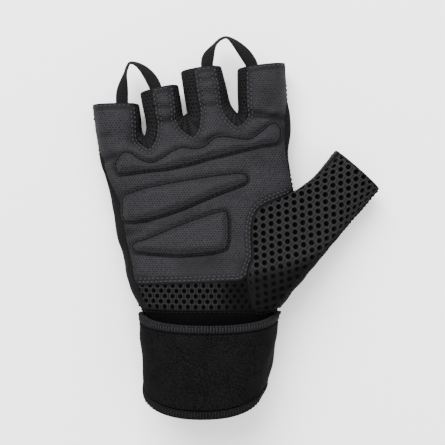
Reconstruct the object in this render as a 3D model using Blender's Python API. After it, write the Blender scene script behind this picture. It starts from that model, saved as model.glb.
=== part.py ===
"""A right-hand weightlifting glove with a wrist wrap, lying on its back with the palm up.

The skin of the glove is worked out once as a net of points: a trunk from the cuff to the knuckles,
four finger stalls, the webs between them and a thumb. The net is then cut along its seams into
panels, and each panel gets its own wall. +Y runs to the fingers, +X to the thumb, +Z up.
"""

import math

import bmesh
import bpy
import numpy as np
from mathutils import Vector

# Hand sizes, in metres
PALM_WIDTH = 0.0965  # across the knuckles
PALM_LENGTH = 0.0838  # cuff seam to the middle of the knuckle line
PALM_DEPTH = 0.030  # back to palm at the middle of the hand
FINGER_WIDTH = 0.0225
FINGER_DEPTH = 0.0205
FINGER_LENGTH = 0.0220  # crotch to hem of the middle finger
WEB_DROP = 0.0075  # how far the seams dip below the crotches on the palm and the back
THUMB_REACH = 0.0800  # middle of the hand to the middle of the thumb's opening
THUMB_RISE = 0.0721  # cuff seam to the middle of the thumb's opening
THUMB_WIDTH = 0.0305
THUMB_DEPTH = 0.0185
THUMB_LEAN = 41.6  # degrees between the thumb's opening and the X axis
WRIST_WIDTH = 0.0640
WRIST_DEPTH = 0.0365
CUFF_LENGTH = 0.0440

# Walls and gaps
LEATHER_WALL = 0.0016
LEATHER_PROUD = 0.0005  # the leather lies this far over the cloth around it
BACK_WALL = 0.0012
WEB_WALL = 0.0012
MESH_WALL = 0.0022
CUFF_WALL = 0.0024
SEAM_GAP = 0.0005
PLY_GAP = 0.0006
PIERCED_SHARE = 0.52  # side of a mesh hole as a share of its cell

# Pads
PAD_HEIGHT = 0.0024
PAD_EDGE = 0.0007

# Wrist wrap
WRAP_WALL = 0.0026
WRAP_HEIGHT = 0.0312  # between its two bindings, at the sides
WRAP_START = 315.0  # degrees round the wrist; 90 is the middle of the palm side
WRAP_END = -112.0
WRAP_SET = 0.0035  # cuff seam to the upper binding, at the sides
WRAP_DIP_TOP = 0.0035  # the upper edge runs this much lower in the middle of the palm side
WRAP_DIP_LOW = 0.0102
BINDING_HEIGHT = 0.0040
BINDING_WALL = 0.0031
TAB_LENGTH = 0.0150
TAB_HEIGHT = 0.0290

# Pull loops
LOOP_WIDTH = 0.0064
LOOP_WALL = 0.0010
LOOP_TUCK = 0.0060  # how far its feet run down inside the hems
LOOP_SINK = 0.0007  # extra room between a flat foot and the curved leather over it

CUFF_LIFT = 2 * (WRAP_WALL + PLY_GAP) + 2 * (BINDING_WALL - WRAP_WALL)
PALM_ROUND = 2.5  # exponent of the section on the palm side
BACK_ROUND = 3.6  # flatter, where it lies on the table
FINGER_ROUND = 2.3
WRIST_ROUND = 2.3
SIDE_SHARE = 0.47  # height of the widest line, as a share of the section's depth
BACK_EDGE = 0.80  # where the back's flat part ends, as a share of the half width
SQUARE_BY = 0.40  # share of PALM_LENGTH above the cuff seam where the wrist's roundness ends
LANE_COLUMNS = 4
SIDE_STEPS = 4  # columns round a side or across a web
BACK_DROP = 0.0090  # how far the rows on the back run down towards the thumb
THUMB_RINGS = 9
CROTCH_ROW = 8  # row of HAND_ROWS at the thumb's crotch
SHELL_LIMIT = 1.6

# Sections of the hand. along: share of PALM_LENGTH from the cuff seam; left, right: shares of
# PALM_WIDTH from the middle line; bottom, top: shares of PALM_DEPTH. A bottom below zero is
# pressed flat on the table; None is the height at which the wrap holds the cuff.
HAND_SECTIONS = [
    # along  left    right  bottom  top
    (0.000, -0.345, 0.392, None, 1.380),
    (0.144, -0.415, 0.416, 0.100, 1.240),
    (0.288, -0.440, 0.430, 0.005, 1.140),
    (0.431, -0.474, 0.450, -0.012, 1.070),
    (0.576, -0.502, 0.468, -0.012, 1.010),
    (0.720, -0.522, 0.480, -0.012, 0.965),
    (0.818, -0.545, 0.463, -0.012, 0.930),
    (0.933, -0.578, 0.450, -0.012, 0.885),
    (1.054, -0.594, 0.458, -0.006, 0.845),
    (1.230, -0.602, 0.458, 0.028, 0.800),
]

# Sections of the cuff. along: share of CUFF_LENGTH below the seam; left, right: shares of
# WRIST_WIDTH; depth: share of WRIST_DEPTH.
CUFF_SECTIONS = [
    # along  left    right  depth
    (-0.07, -0.478, 0.520, 0.990),
    (-0.34, -0.476, 0.506, 1.000),
    (-0.68, -0.454, 0.466, 1.000),
    (-1.00, -0.447, 0.405, 0.985),
]

# Rows of the net, cuff seam to knuckle line. y_left, y_right: shares of PALM_LENGTH at the two
# sides; leather_left, leather_right: the palm leather's edges, shares of PALM_WIDTH.
HAND_ROWS = [
    # y_left y_right  leather_left leather_right
    (0.000, 0.000, -0.300, 0.253),
    (0.160, 0.190, -0.367, 0.237),
    (0.258, 0.303, -0.385, 0.247),
    (0.348, 0.408, -0.404, 0.243),
    (0.443, 0.503, -0.425, 0.244),
    (0.528, 0.581, -0.439, 0.262),
    (0.593, 0.635, -0.450, 0.304),
    (0.640, 0.683, -0.461, 0.394),
    (0.683, 0.725, -0.474, 0.469),
    (0.738, 0.845, -0.496, 0.452),
    (0.795, 0.966, -0.522, 0.431),
    (0.851, 1.084, -0.540, 0.432),
    (0.906, 1.199, -0.555, 0.433),
]
LANE_EDGES = (0.0, 0.262, 0.497, 0.738, 1.0)  # lane borders across the knuckle line

# Finger stalls. base and tip: middle of the stall, x in PALM_WIDTH and y in PALM_LENGTH plus
# tip_y in FINGER_LENGTH above that base; halves: shares of FINGER_WIDTH; slope: of the hem, in
# degrees; seams: shares of the half width where the palm leather ends.
FINGERS = [
    # name     base_x  base_y  tip_x  tip_y  base_half tip_half slope  seam_left seam_right
    ("little", -0.466, 1.054, -0.492, 0.836, 0.529, 0.547, 1.0, -0.97, 0.84),
    ("ring", -0.221, 1.155, -0.256, 0.823, 0.448, 0.462, 12.4, -0.36, 0.74),
    ("middle", 0.021, 1.224, -0.027, 1.041, 0.528, 0.484, 7.8, -0.36, 0.70),
    ("index", 0.310, 1.230, 0.303, 1.082, 0.590, 0.566, 6.6, -0.66, 0.97),
]
CROTCHES = [(-0.334, 1.084), (-0.109, 1.226), (0.160, 1.239)]  # x in PALM_WIDTH, y in PALM_LENGTH
FINGER_STEPS = (0.12, 0.42, 0.72, 1.0)
KNUCKLE_SLOPE = 12.7

# Pads, in rows across the hand from little finger to index. x: share of PALM_WIDTH; low, high:
# shares of PALM_LENGTH.
PADS = {
    "knuckle_pad": [
        # x      low     high
        (-0.490, 0.867, 0.899),
        (-0.474, 0.831, 0.933),
        (-0.438, 0.823, 0.973),
        (-0.395, 0.828, 0.968),
        (-0.340, 0.837, 0.927),
        (-0.285, 0.842, 0.909),
        (-0.235, 0.847, 0.935),
        (-0.180, 0.859, 0.977),
        (-0.120, 0.873, 1.002),
        (-0.060, 0.889, 0.993),
        (-0.005, 0.907, 1.009),
        (0.040, 0.920, 1.055),
        (0.090, 0.934, 1.069),
        (0.170, 0.959, 1.059),
        (0.240, 0.979, 1.057),
        (0.300, 0.996, 1.107),
        (0.355, 1.005, 1.153),
        (0.390, 1.019, 1.149),
        (0.412, 1.057, 1.111),
    ],
    "middle_pad": [
        (-0.452, 0.570, 0.680),
        (-0.440, 0.543, 0.701),
        (-0.400, 0.529, 0.723),
        (-0.335, 0.537, 0.747),
        (-0.235, 0.565, 0.771),
        (-0.125, 0.607, 0.795),
        (0.000, 0.667, 0.818),
        (0.110, 0.719, 0.835),
        (0.180, 0.749, 0.841),
        (0.215, 0.767, 0.833),
        (0.232, 0.787, 0.813),
    ],
    "lower_pad": [
        (-0.394, 0.374, 0.398),
        (-0.378, 0.352, 0.416),
        (-0.330, 0.340, 0.434),
        (-0.235, 0.330, 0.478),
        (-0.125, 0.326, 0.530),
        (-0.020, 0.336, 0.574),
        (0.060, 0.348, 0.602),
        (0.100, 0.362, 0.610),
        (0.122, 0.384, 0.594),
        (0.132, 0.432, 0.552),
    ],
}
PAD_STATIONS = 24
PAD_COLUMNS = 6

# Pull loops. from and to: a finger and the share of its half width where the foot is sewn in;
# rise: height of the arch over the higher hem; lean: sideways shift of its top.
LOOPS = [
    # name                     from  share  to  share  rise   lean
    ("pull_loop_little_ring", 0, 0.36, 1, -0.16, 0.0136, -0.0044),
    ("pull_loop_middle_index", 2, 0.38, 3, -0.46, 0.0152, -0.0018),
]
LOOP_STEPS = 22

FINISHES = {
    # name       red    green  blue   rough
    "leather": (0.045, 0.044, 0.050, 0.62),
    "knit": (0.010, 0.010, 0.011, 0.85),
    "mesh": (0.022, 0.022, 0.023, 0.80),
    "neoprene": (0.009, 0.009, 0.010, 0.90),
    "binding": (0.016, 0.016, 0.018, 0.80),
    "webbing": (0.013, 0.013, 0.013, 0.75),
    "hook_tape": (0.012, 0.012, 0.012, 0.70),
}


def smooth_row(rows, at):
    """The row at a position between hand-chosen rows, on a cubic that passes through them."""
    table = np.array(rows, float)
    place = table[:, 0]
    slopes = np.gradient(table, place, axis=0)
    at = min(max(at, place[0]), place[-1])
    i = min(int(np.searchsorted(place, at, side="right")) - 1, len(place) - 2)
    step = place[i + 1] - place[i]
    t = (at - place[i]) / step
    first, second = table[i], table[i + 1]
    return (
        first * (1 + 2 * t) * (1 - t) ** 2
        + slopes[i] * step * t * (1 - t) ** 2
        + second * t * t * (3 - 2 * t)
        + slopes[i + 1] * step * t * t * (t - 1)
    )


def trunk_stations():
    """Rows of y, left, right, bottom and top in metres, from the cuff's end to the knuckles."""
    rows = []
    for along, left, right, depth in reversed(CUFF_SECTIONS):
        top = CUFF_LIFT + depth * WRIST_DEPTH
        rows.append((along * CUFF_LENGTH, left * WRIST_WIDTH, right * WRIST_WIDTH, CUFF_LIFT, top))
    for along, left, right, bottom, top in HAND_SECTIONS:
        floor = CUFF_LIFT if bottom is None else bottom * PALM_DEPTH
        rows.append(
            (along * PALM_LENGTH, left * PALM_WIDTH, right * PALM_WIDTH, floor, top * PALM_DEPTH)
        )
    return rows


TRUNK = trunk_stations()


def rounded(share, exponent):
    """Height of a rounded section at a share of its half width, from 1 in the middle to 0."""
    return (1 - min(abs(share), 1.0) ** exponent) ** (1 / exponent)


def on_section(angle, exponent):
    """Cosine and sine of a rounded section at an angle in degrees."""
    c, s = math.cos(math.radians(angle)), math.sin(math.radians(angle))
    return (
        math.copysign(abs(c) ** (2 / exponent), c),
        math.copysign(abs(s) ** (2 / exponent), s),
    )


def angle_at(share, exponent):
    """Angle in degrees, 0 to 180, where a rounded section has this share of its half width."""
    return math.degrees(math.acos(math.copysign(abs(share) ** (exponent / 2), share)))


def trunk_row(y):
    """Left, right, bottom and top at y: straight between the cuff's sections, smooth above them."""
    table = np.array(TRUNK)
    if y < CUFF_SECTIONS[0][0] * CUFF_LENGTH:
        return [np.interp(y, table[:, 0], table[:, k]) for k in range(1, 5)]
    return smooth_row(TRUNK, y)[1:]


def trunk_frame(y):
    """Middle, half width, height of the widest line, and depths below and above it, at y."""
    left, right, bottom, top = trunk_row(y)
    side = bottom + SIDE_SHARE * (top - bottom)
    return (left + right) / 2, (right - left) / 2, side, side - bottom, top - side


def trunk_rounds(y):
    """Exponents of the palm side and the back side: a rounder wrist turning into a flatter hand."""
    t = min(max(y / (SQUARE_BY * PALM_LENGTH), 0.0), 1.0)
    t = t * t * (3 - 2 * t)
    return [WRIST_ROUND + (end - WRIST_ROUND) * t for end in (PALM_ROUND, BACK_ROUND)]


def palm_point(x, y):
    middle, half, side, _, above = trunk_frame(y)
    return Vector((x, y, side + above * rounded((x - middle) / half, trunk_rounds(y)[0])))


def back_point(share, y):
    middle, half, side, below, _ = trunk_frame(y)
    z = side - below * rounded(share, trunk_rounds(y)[1])
    return Vector((middle + share * half, y, max(0.0, z)))


def trunk_point(angle, y, grow=0.0):
    """A point on the trunk by its angle: 0 at the thumb side, 90 on the palm, 270 on the back."""
    middle, half, side, below, above = trunk_frame(y)
    over = angle % 360 <= 180
    c, s = on_section(angle, trunk_rounds(y)[0 if over else 1])
    z = side + s * (grow + (above if over else below))
    return Vector((middle + (half + grow) * c, y, max(0.0, z)))


def side_angles(palm_angle, back_angle, steps):
    """Angles from the palm's edge round the widest line to the back's edge, ends left out."""
    turn = 180.0 if palm_angle > 90 else 0.0
    half = steps // 2
    first = [palm_angle + (turn - palm_angle) * k / half for k in range(1, half + 1)]
    rest = steps - half
    return first + [turn + (back_angle - turn) * k / rest for k in range(1, rest)]


def finger_frame(finger, step):
    """Middle, half width, half depth, height and slope of a finger stall at a step from 0 to 1."""
    _, base_x, base_y, tip_x, tip_y, base_half, tip_half, slope, _, _ = FINGERS[finger]
    base = Vector((base_x * PALM_WIDTH, base_y * PALM_LENGTH, 0))
    tip = Vector((tip_x * PALM_WIDTH, base_y * PALM_LENGTH + tip_y * FINGER_LENGTH, 0))
    half = (base_half + (tip_half - base_half) * step) * FINGER_WIDTH
    depth = (0.50 - 0.045 * step) * FINGER_DEPTH
    height = (0.55 - 0.01 * step) * FINGER_DEPTH
    tilt = math.radians(KNUCKLE_SLOPE + (slope - KNUCKLE_SLOPE) * step)
    return base.lerp(tip, step), half, depth, height, tilt


def finger_point(finger, step, angle):
    middle, half, depth, height, tilt = finger_frame(finger, step)
    c, s = on_section(angle, FINGER_ROUND)
    drop = WEB_DROP * (1 - step) ** 1.5 * abs(s)
    return Vector(
        (
            middle.x + half * c * math.cos(tilt),
            middle.y + half * c * math.sin(tilt) - drop,
            height + depth * s,
        )
    )


def finger_seams(finger):
    """Angles of the palm seams and the back seams of a finger stall."""
    seam_left, seam_right = FINGERS[finger][8:]
    left, right = angle_at(seam_left, FINGER_ROUND), angle_at(seam_right, FINGER_ROUND)
    outer = angle_at(BACK_EDGE, FINGER_ROUND)
    return left, right, 180 + outer, 360 - outer


class Net:
    """Points by name, and quads between them that each belong to a panel."""

    def __init__(self):
        self.mesh = bmesh.new()
        self.points = {}
        self.panels = {}

    def put(self, key, place):
        self.points[key] = self.mesh.verts.new(place)

    def sheet(self, panel, rows):
        """Quads between neighbouring rows of point names."""
        for low, high in zip(rows, rows[1:]):
            for a, b, c, d in zip(low, low[1:], high[1:], high):
                face = self.mesh.faces.new([self.points[key] for key in (a, b, c, d)])
                self.panels.setdefault(panel, []).append(face)

    def close(self):
        """Turns every face outwards."""
        bmesh.ops.recalc_face_normals(self.mesh, faces=self.mesh.faces)
        if self.panels["palm_leather"][0].normal.z < 0:
            bmesh.ops.reverse_faces(self.mesh, faces=self.mesh.faces)
        self.mesh.normal_update()
        self.mesh.verts.index_update()


LANES = len(FINGERS)
COLUMNS = LANES * LANE_COLUMNS
TOP_ROW = len(HAND_ROWS) - 1
CUFF_ROWS = len(CUFF_SECTIONS)
UNDER_STEPS = SIDE_STEPS + 1  # columns below the thumb, from palm edge to back edge


def column_share(column):
    """Where a column lies between the leather's two edges."""
    lane, part = min(column // LANE_COLUMNS, LANES - 1), column
    part = column - lane * LANE_COLUMNS
    low, high = LANE_EDGES[lane], LANE_EDGES[lane + 1]
    return low + (high - low) * part / LANE_COLUMNS


def put_row(net, row, y_left, y_right, left, right, steps):
    """One ring of the trunk: palm columns, back columns and the sides between them."""
    drop = BACK_DROP * math.sin(math.pi * max(row, 0) / TOP_ROW)
    for column in range(COLUMNS + 1):
        share = column_share(column)
        y = y_left + (y_right - y_left) * share
        net.put(("palm", row, column), palm_point(left + (right - left) * share, y))
        net.put(("back", row, column), back_point(BACK_EDGE * (2 * share - 1), y - drop * share**3))
    for side, y, x, count in (("left", y_left, left, SIDE_STEPS), ("right", y_right, right, steps)):
        middle, half = trunk_frame(y)[:2]
        palm_round, back_round = trunk_rounds(y)
        edge = angle_at(BACK_EDGE, back_round)
        palm_angle = angle_at((x - middle) / half, palm_round)
        back_angle = 180 + edge if side == "left" else -edge
        for k, angle in enumerate(side_angles(palm_angle, back_angle, count), start=1):
            lower = drop * (k / count) ** 1.5 if side == "right" else 0.0
            net.put((side, row, k), trunk_point(angle, y - lower))


def put_trunk(net):
    for row, (y_left, y_right, left, right) in enumerate(HAND_ROWS):
        steps = UNDER_STEPS if row == 0 else SIDE_STEPS
        y_low, y_high = y_left * PALM_LENGTH, y_right * PALM_LENGTH
        put_row(net, row, y_low, y_high, left * PALM_WIDTH, right * PALM_WIDTH, steps)
    left, right = HAND_ROWS[0][2] * PALM_WIDTH, HAND_ROWS[0][3] * PALM_WIDTH
    for row, (along, low, high, _) in enumerate(CUFF_SECTIONS):
        narrower = (high - low) * WRIST_WIDTH / (TRUNK[CUFF_ROWS][2] - TRUNK[CUFF_ROWS][1])
        y = along * CUFF_LENGTH
        put_row(net, -1 - row, y, y, left * narrower, right * narrower, UNDER_STEPS)


def put_fingers(net):
    for finger in range(LANES):
        left, right, back_left, back_right = finger_seams(finger)
        for k, step in enumerate(FINGER_STEPS, start=1):
            for column in range(LANE_COLUMNS + 1):
                share = column / LANE_COLUMNS
                palm, back = left + (right - left) * share, back_left + (back_right - back_left) * share
                net.put(("palm", finger, k, column), finger_point(finger, step, palm))
                net.put(("back", finger, k, column), finger_point(finger, step, back))
            for side, start, end in (("left", left, back_left), ("right", right, back_right - 360)):
                for j, angle in enumerate(side_angles(start, end, SIDE_STEPS), start=1):
                    net.put((side, finger, k, j), finger_point(finger, step, angle))


def put_webs(net):
    """The lowest points of each web, from the palm seam over the crotch to the back seam."""
    for web, (x, y) in enumerate(CROTCHES):
        column = (web + 1) * LANE_COLUMNS
        palm = net.points[("palm", TOP_ROW, column)].co
        back = net.points[("back", TOP_ROW, column)].co
        ridge = Vector((x * PALM_WIDTH, y * PALM_LENGTH, 0.5 * FINGER_DEPTH))
        for j in range(1, SIDE_STEPS):
            turn = math.pi * j / SIDE_STEPS
            end = palm if j * 2 < SIDE_STEPS else back
            level, reach = abs(math.cos(turn)) ** 0.9, math.sin(turn)
            place = Vector(
                (
                    end.x + (ridge.x - end.x) * reach,
                    end.y + (ridge.y - end.y) * reach,
                    ridge.z + (end.z - ridge.z) * level,
                )
            )
            net.put(("web", web, j), place)


def side_keys(side, row, steps=SIDE_STEPS):
    """Names of a trunk row's points round one side, palm edge to back edge."""
    edge = 0 if side == "left" else COLUMNS
    middle = [(side, row, k) for k in range(1, steps)]
    return [("palm", row, edge)] + middle + [("back", row, edge)]


def lane_key(face, finger, k, column):
    """A point of a finger's palm or back. Its lowest row is the trunk's knuckle line."""
    if k == 0:
        return (face, TOP_ROW, finger * LANE_COLUMNS + column)
    return (face, finger, k, column)


def finger_side_keys(finger, side, k):
    """Names across one side of a finger stall, palm seam to back seam."""
    edge = 0 if side == "left" else LANE_COLUMNS
    if k == 0:
        return side_keys(side, TOP_ROW)
    middle = [(side, finger, k, j) for j in range(1, SIDE_STEPS)]
    return [("palm", finger, k, edge)] + middle + [("back", finger, k, edge)]


def lay_hand(net):
    """The palm, the back, the heel and the cuff."""
    for face, panel, first in (("palm", "palm_leather", 1), ("back", "back_panel", 0)):
        net.sheet(
            panel,
            [[(face, r, c) for c in range(COLUMNS + 1)] for r in range(first, TOP_ROW + 1)],
        )
        for finger in range(LANES):
            net.sheet(
                panel,
                [
                    [lane_key(face, finger, k, c) for c in range(LANE_COLUMNS + 1)]
                    for k in range(len(FINGER_STEPS) + 1)
                ],
            )
    net.sheet("heel_mesh", [[("palm", r, c) for c in range(COLUMNS + 1)] for r in (0, 1)])
    net.sheet("back_panel", [side_keys("left", r) for r in range(TOP_ROW + 1)])
    net.sheet("back_panel", [side_keys("right", r) for r in range(CROTCH_ROW, TOP_ROW + 1)])
    steps = range(len(FINGER_STEPS) + 1)
    net.sheet("back_panel", [finger_side_keys(0, "left", k) for k in steps])
    net.sheet("back_panel", [finger_side_keys(LANES - 1, "right", k) for k in steps])
    rings = []
    for row in range(-CUFF_ROWS, 1):
        palm = [("palm", row, c) for c in range(COLUMNS + 1)]
        under = side_keys("right", row, UNDER_STEPS)[1:-1]
        back = [("back", row, c) for c in range(COLUMNS, -1, -1)]
        left = side_keys("left", row)[-2:0:-1]
        rings.append(palm + under + back + left + palm[:1])
    net.sheet("cuff", rings)


def lay_webs(net):
    """The side strips between neighbouring fingers, down one finger and up the next."""
    for web in range(LANES - 1):
        column = (web + 1) * LANE_COLUMNS
        low = [("palm", TOP_ROW, column)]
        low += [("web", web, j) for j in range(1, SIDE_STEPS)] + [("back", TOP_ROW, column)]
        steps = range(len(FINGER_STEPS), 0, -1)
        rows = [finger_side_keys(web, "right", k) for k in steps] + [low]
        rows += [finger_side_keys(web + 1, "left", k) for k in reversed(steps)]
        net.sheet("fourchette_" + FINGERS[web][0] + "_" + FINGERS[web + 1][0], rows)


def thumb_base():
    """Names round the hole that the thumb grows from: palm edge down, cuff seam, back edge up."""
    palm = [("palm", r, COLUMNS) for r in range(CROTCH_ROW, -1, -1)]
    under = side_keys("right", 0, UNDER_STEPS)[1:-1]
    back = [("back", r, COLUMNS) for r in range(0, CROTCH_ROW + 1)]
    crotch = side_keys("right", CROTCH_ROW)[-2:0:-1]
    return palm + under + back + crotch


def tip_angles(net, base):
    """Angles round the thumb's opening, shared out by the length round its base."""
    inner = base.index(("right", CROTCH_ROW, SIDE_STEPS // 2))
    outer = base.index(("right", 0, UNDER_STEPS // 2))
    count, angles = len(base), {}
    for first, last, start, end in ((inner, outer, 180.0, 0.0), (outer, inner, 0.0, -180.0)):
        walk = [first]
        while walk[-1] != last:
            walk.append((walk[-1] + 1) % count)
        places = [net.points[base[i]].co for i in walk]
        steps = [(b - a).length for a, b in zip(places, places[1:])]
        total, gone = sum(steps), 0.0
        for i, step in zip(walk, steps):
            angles[i] = start + (end - start) * gone / total
            gone += step
    return angles


def thumb_heading(key, axis):
    """Which way the thumb's skin leaves a point of its base."""
    if key[0] == "right" and key[1] == CROTCH_ROW:
        return Vector((0.88, 0.42, 0)).normalized()
    if key[0] == "right" or key[1] == 0:
        return Vector((0.65, 0.76, 0.0)).normalized()
    if key[0] == "palm":
        return (Vector((0.97, 0, -0.24)) + 0.55 * axis).normalized()
    climb = 1 - 1.2 * (key[1] / CROTCH_ROW) ** 4
    return (Vector((0.94, 0, 0.33)) + 0.55 * climb * axis).normalized()


def lay_thumb(net):
    """Rings on smooth curves from the hole in the trunk to the thumb's hem."""
    base = thumb_base()
    lean = math.radians(THUMB_LEAN)
    across = Vector((math.cos(lean), -math.sin(lean), 0))
    axis = Vector((math.sin(lean), math.cos(lean), 0))
    tip = Vector((THUMB_REACH, THUMB_RISE, 0.45 * PALM_DEPTH))
    for i, angle in tip_angles(net, base).items():
        c, s = on_section(angle, FINGER_ROUND)
        end = tip + across * (c * THUMB_WIDTH / 2) + Vector((0, 0, s * THUMB_DEPTH / 2))
        start = net.points[base[i]].co
        reach = (end - start).length
        second = start + thumb_heading(base[i], axis) * (0.34 * reach)
        third = end - axis * (0.34 * reach)
        for ring in range(1, THUMB_RINGS + 1):
            t = ring / THUMB_RINGS
            place = start * (1 - t) ** 3 + second * (3 * t * (1 - t) ** 2)
            place = place + third * (3 * t * t * (1 - t)) + end * t**3
            net.put(("thumb", ring, i), place)
    rows = [base + base[:1]]
    for ring in range(1, THUMB_RINGS + 1):
        names = [("thumb", ring, i) for i in range(len(base))]
        rows.append(names + names[:1])
    patch_start, patch_columns = 2, (len(base) - 2, len(base) - 1, 0)
    mesh_end = CROTCH_ROW + 1
    for ring, (low, high) in enumerate(zip(rows, rows[1:])):
        for i in range(len(base)):
            if i in patch_columns and ring >= patch_start:
                panel = "thumb_patch"
            elif i < mesh_end or i in patch_columns:
                panel = "thumb_mesh"
            else:
                panel = "thumb_back"
            net.sheet(panel, [low[i : i + 2], high[i : i + 2]])


def inward(vert, edges, faces):
    """How far a seam point steps back from its neighbours, square to each seam edge."""
    ways = []
    for edge in edges:
        face = next(f for f in edge.link_faces if f in faces)
        along = (edge.verts[1].co - edge.verts[0].co).normalized()
        middle = (edge.verts[0].co + edge.verts[1].co) / 2
        way = face.calc_center_median() - middle
        way -= along * way.dot(along)
        way -= vert.normal * way.dot(vert.normal)
        ways.append(way.normalized())
    if not ways:
        return Vector()
    total = sum(ways, Vector())
    return total * (len(ways) / max(total.dot(total), 0.5))


def panel_solid(net, panel, wall, proud, pierced):
    """The panel's faces as a closed wall, set back from its seams by half the seam gap."""
    chosen = set(net.panels[panel])
    solid = bmesh.new()
    outer, inner = {}, {}
    for vert in {v for f in chosen for v in f.verts}:
        seams = [
            e
            for e in vert.link_edges
            if sum(f in chosen for f in e.link_faces) == 1 and len(e.link_faces) == 2
        ]
        place = vert.co + inward(vert, seams, chosen) * (SEAM_GAP / 2)
        stretch = min(vert.calc_shell_factor(), SHELL_LIMIT)
        place.z = max(place.z, 0.0)
        outer[vert] = solid.verts.new(place + vert.normal * proud)
        inner[vert] = solid.verts.new(place - vert.normal * (wall - proud) * stretch)
    for face in net.panels[panel]:
        top = [outer[v] for v in face.verts]
        bottom = [inner[v] for v in face.verts]
        if pierced(face):
            ring_wall(solid, top, bottom)
        else:
            solid.faces.new(top)
            solid.faces.new(bottom[::-1])
        for edge in face.edges:
            if sum(f in chosen for f in edge.link_faces) > 1:
                continue
            a, b = edge.verts
            corners = list(face.verts)
            if corners[(corners.index(a) + 1) % len(corners)] is not b:
                a, b = b, a
            if a.index < b.index:
                solid.faces.new([outer[b], outer[a], inner[b]])
                solid.faces.new([outer[a], inner[a], inner[b]])
            else:
                solid.faces.new([outer[b], outer[a], inner[a]])
                solid.faces.new([outer[b], inner[a], inner[b]])
    return solid


def ring_wall(solid, top, bottom):
    """A cell of mesh: its rim on both faces, with the hole's wall between them."""
    holes = []
    for corners in (top, bottom):
        middle = sum((v.co for v in corners), Vector()) / len(corners)
        holes.append([solid.verts.new(middle.lerp(v.co, PIERCED_SHARE)) for v in corners])
    count = len(top)
    for k in range(count):
        n = (k + 1) % count
        solid.faces.new([top[k], top[n], holes[0][n], holes[0][k]])
        solid.faces.new([bottom[n], bottom[k], holes[1][k], holes[1][n]])
        solid.faces.new([holes[0][k], holes[0][n], holes[1][n], holes[1][k]])


def finish_material(name):
    red, green, blue, rough = FINISHES[name]
    material = bpy.data.materials.get(name) or bpy.data.materials.new(name)
    material.use_nodes = True
    shader = material.node_tree.nodes["Principled BSDF"]
    shader.inputs["Base Color"].default_value = (red, green, blue, 1)
    shader.inputs["Roughness"].default_value = rough
    shader.inputs["Metallic"].default_value = 0.0
    return material


def add_object(name, solid, finish, collection, parent):
    mesh = bpy.data.meshes.new(name)
    solid.normal_update()
    solid.to_mesh(mesh)
    solid.free()
    mesh.materials.append(finish_material(finish))
    mesh.shade_smooth()
    mesh.set_sharp_from_angle(angle=math.radians(40))
    obj = bpy.data.objects.new(name, mesh)
    collection.objects.link(obj)
    obj.parent = parent
    return obj


def grid_solid(top, bottom, closed=False):
    """A closed body between two matching grids of points, top[row][column] over bottom."""
    solid = bmesh.new()
    over = [[solid.verts.new(p) for p in row] for row in top]
    under = [[solid.verts.new(p) for p in row] for row in bottom]
    rows, columns = len(over), len(over[0])
    for r in range(rows - 1):
        for c in range(columns - 1):
            solid.faces.new([over[r][c], over[r][c + 1], over[r + 1][c + 1], over[r + 1][c]])
            solid.faces.new([under[r][c], under[r + 1][c], under[r + 1][c + 1], under[r][c + 1]])
    for r in range(rows - 1):
        solid.faces.new([over[r][0], over[r + 1][0], under[r + 1][0], under[r][0]])
        solid.faces.new([over[r + 1][-1], over[r][-1], under[r][-1], under[r + 1][-1]])
    for c in range(columns - 1):
        solid.faces.new([over[0][c + 1], over[0][c], under[0][c], under[0][c + 1]])
        solid.faces.new([over[-1][c], over[-1][c + 1], under[-1][c + 1], under[-1][c]])
    bmesh.ops.recalc_face_normals(solid, faces=solid.faces)
    return solid


def pad_solid(rows):
    """A cushion on the leather: flat-edged, crowned, following the palm's curve."""
    table = [(x * PALM_WIDTH, low * PALM_LENGTH, high * PALM_LENGTH) for x, low, high in rows]
    first, last = table[0][0], table[-1][0]
    top, bottom = [], []
    for station in range(PAD_STATIONS + 1):
        turn = math.pi * station / PAD_STATIONS
        x, low, high = smooth_row(table, first + (last - first) * (1 - math.cos(turn)) / 2)
        over, under = [], []
        for column in range(PAD_COLUMNS + 1):
            share = column / PAD_COLUMNS
            y = low + (high - low) * (1 - math.cos(math.pi * share)) / 2
            seat = palm_point(x, y) + Vector((0, 0, LEATHER_PROUD + PLY_GAP))
            crown = min(math.sin(math.pi * share) ** 0.6, math.sin(turn) ** 0.5)
            over.append(seat + Vector((0, 0, PAD_EDGE + (PAD_HEIGHT - PAD_EDGE) * crown)))
            under.append(seat)
        top.append(over)
        bottom.append(under)
    return grid_solid(top, bottom)


def wrap_ply(angle):
    """1 where the strap lies on the cuff, rising to 2 where it lies on its own first turn."""
    rise_from, rise_to = WRAP_START - 360 + 62, WRAP_START - 360 + 12
    t = min(max((rise_from - angle) / (rise_from - rise_to), 0.0), 1.0)
    return 1 + t * t * (3 - 2 * t)


def strap_solid(start, end, low, high, wall, dips=(0.0, 0.0), step=11.0):
    """A band wound round the wrist between two heights, its edges dipping on the palm side."""
    count = max(2, round(abs(start - end) / step))
    outer, inner = [], []
    for k in range(count + 1):
        angle = start + (end - start) * k / count
        dip = max(0.0, math.sin(math.radians(angle)))
        seat = wrap_ply(angle) * PLY_GAP + (wrap_ply(angle) - 1) * BINDING_WALL
        bottom, top = low - dips[0] * dip, high - dips[1] * dip
        edges = [bottom + (top - bottom) * part for part in (0, 0.33, 0.67, 1)]
        outer.append([trunk_point(angle, y, seat + wall) for y in edges])
        inner.append([trunk_point(angle, y, seat) for y in edges])
    return grid_solid(outer, inner)


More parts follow.
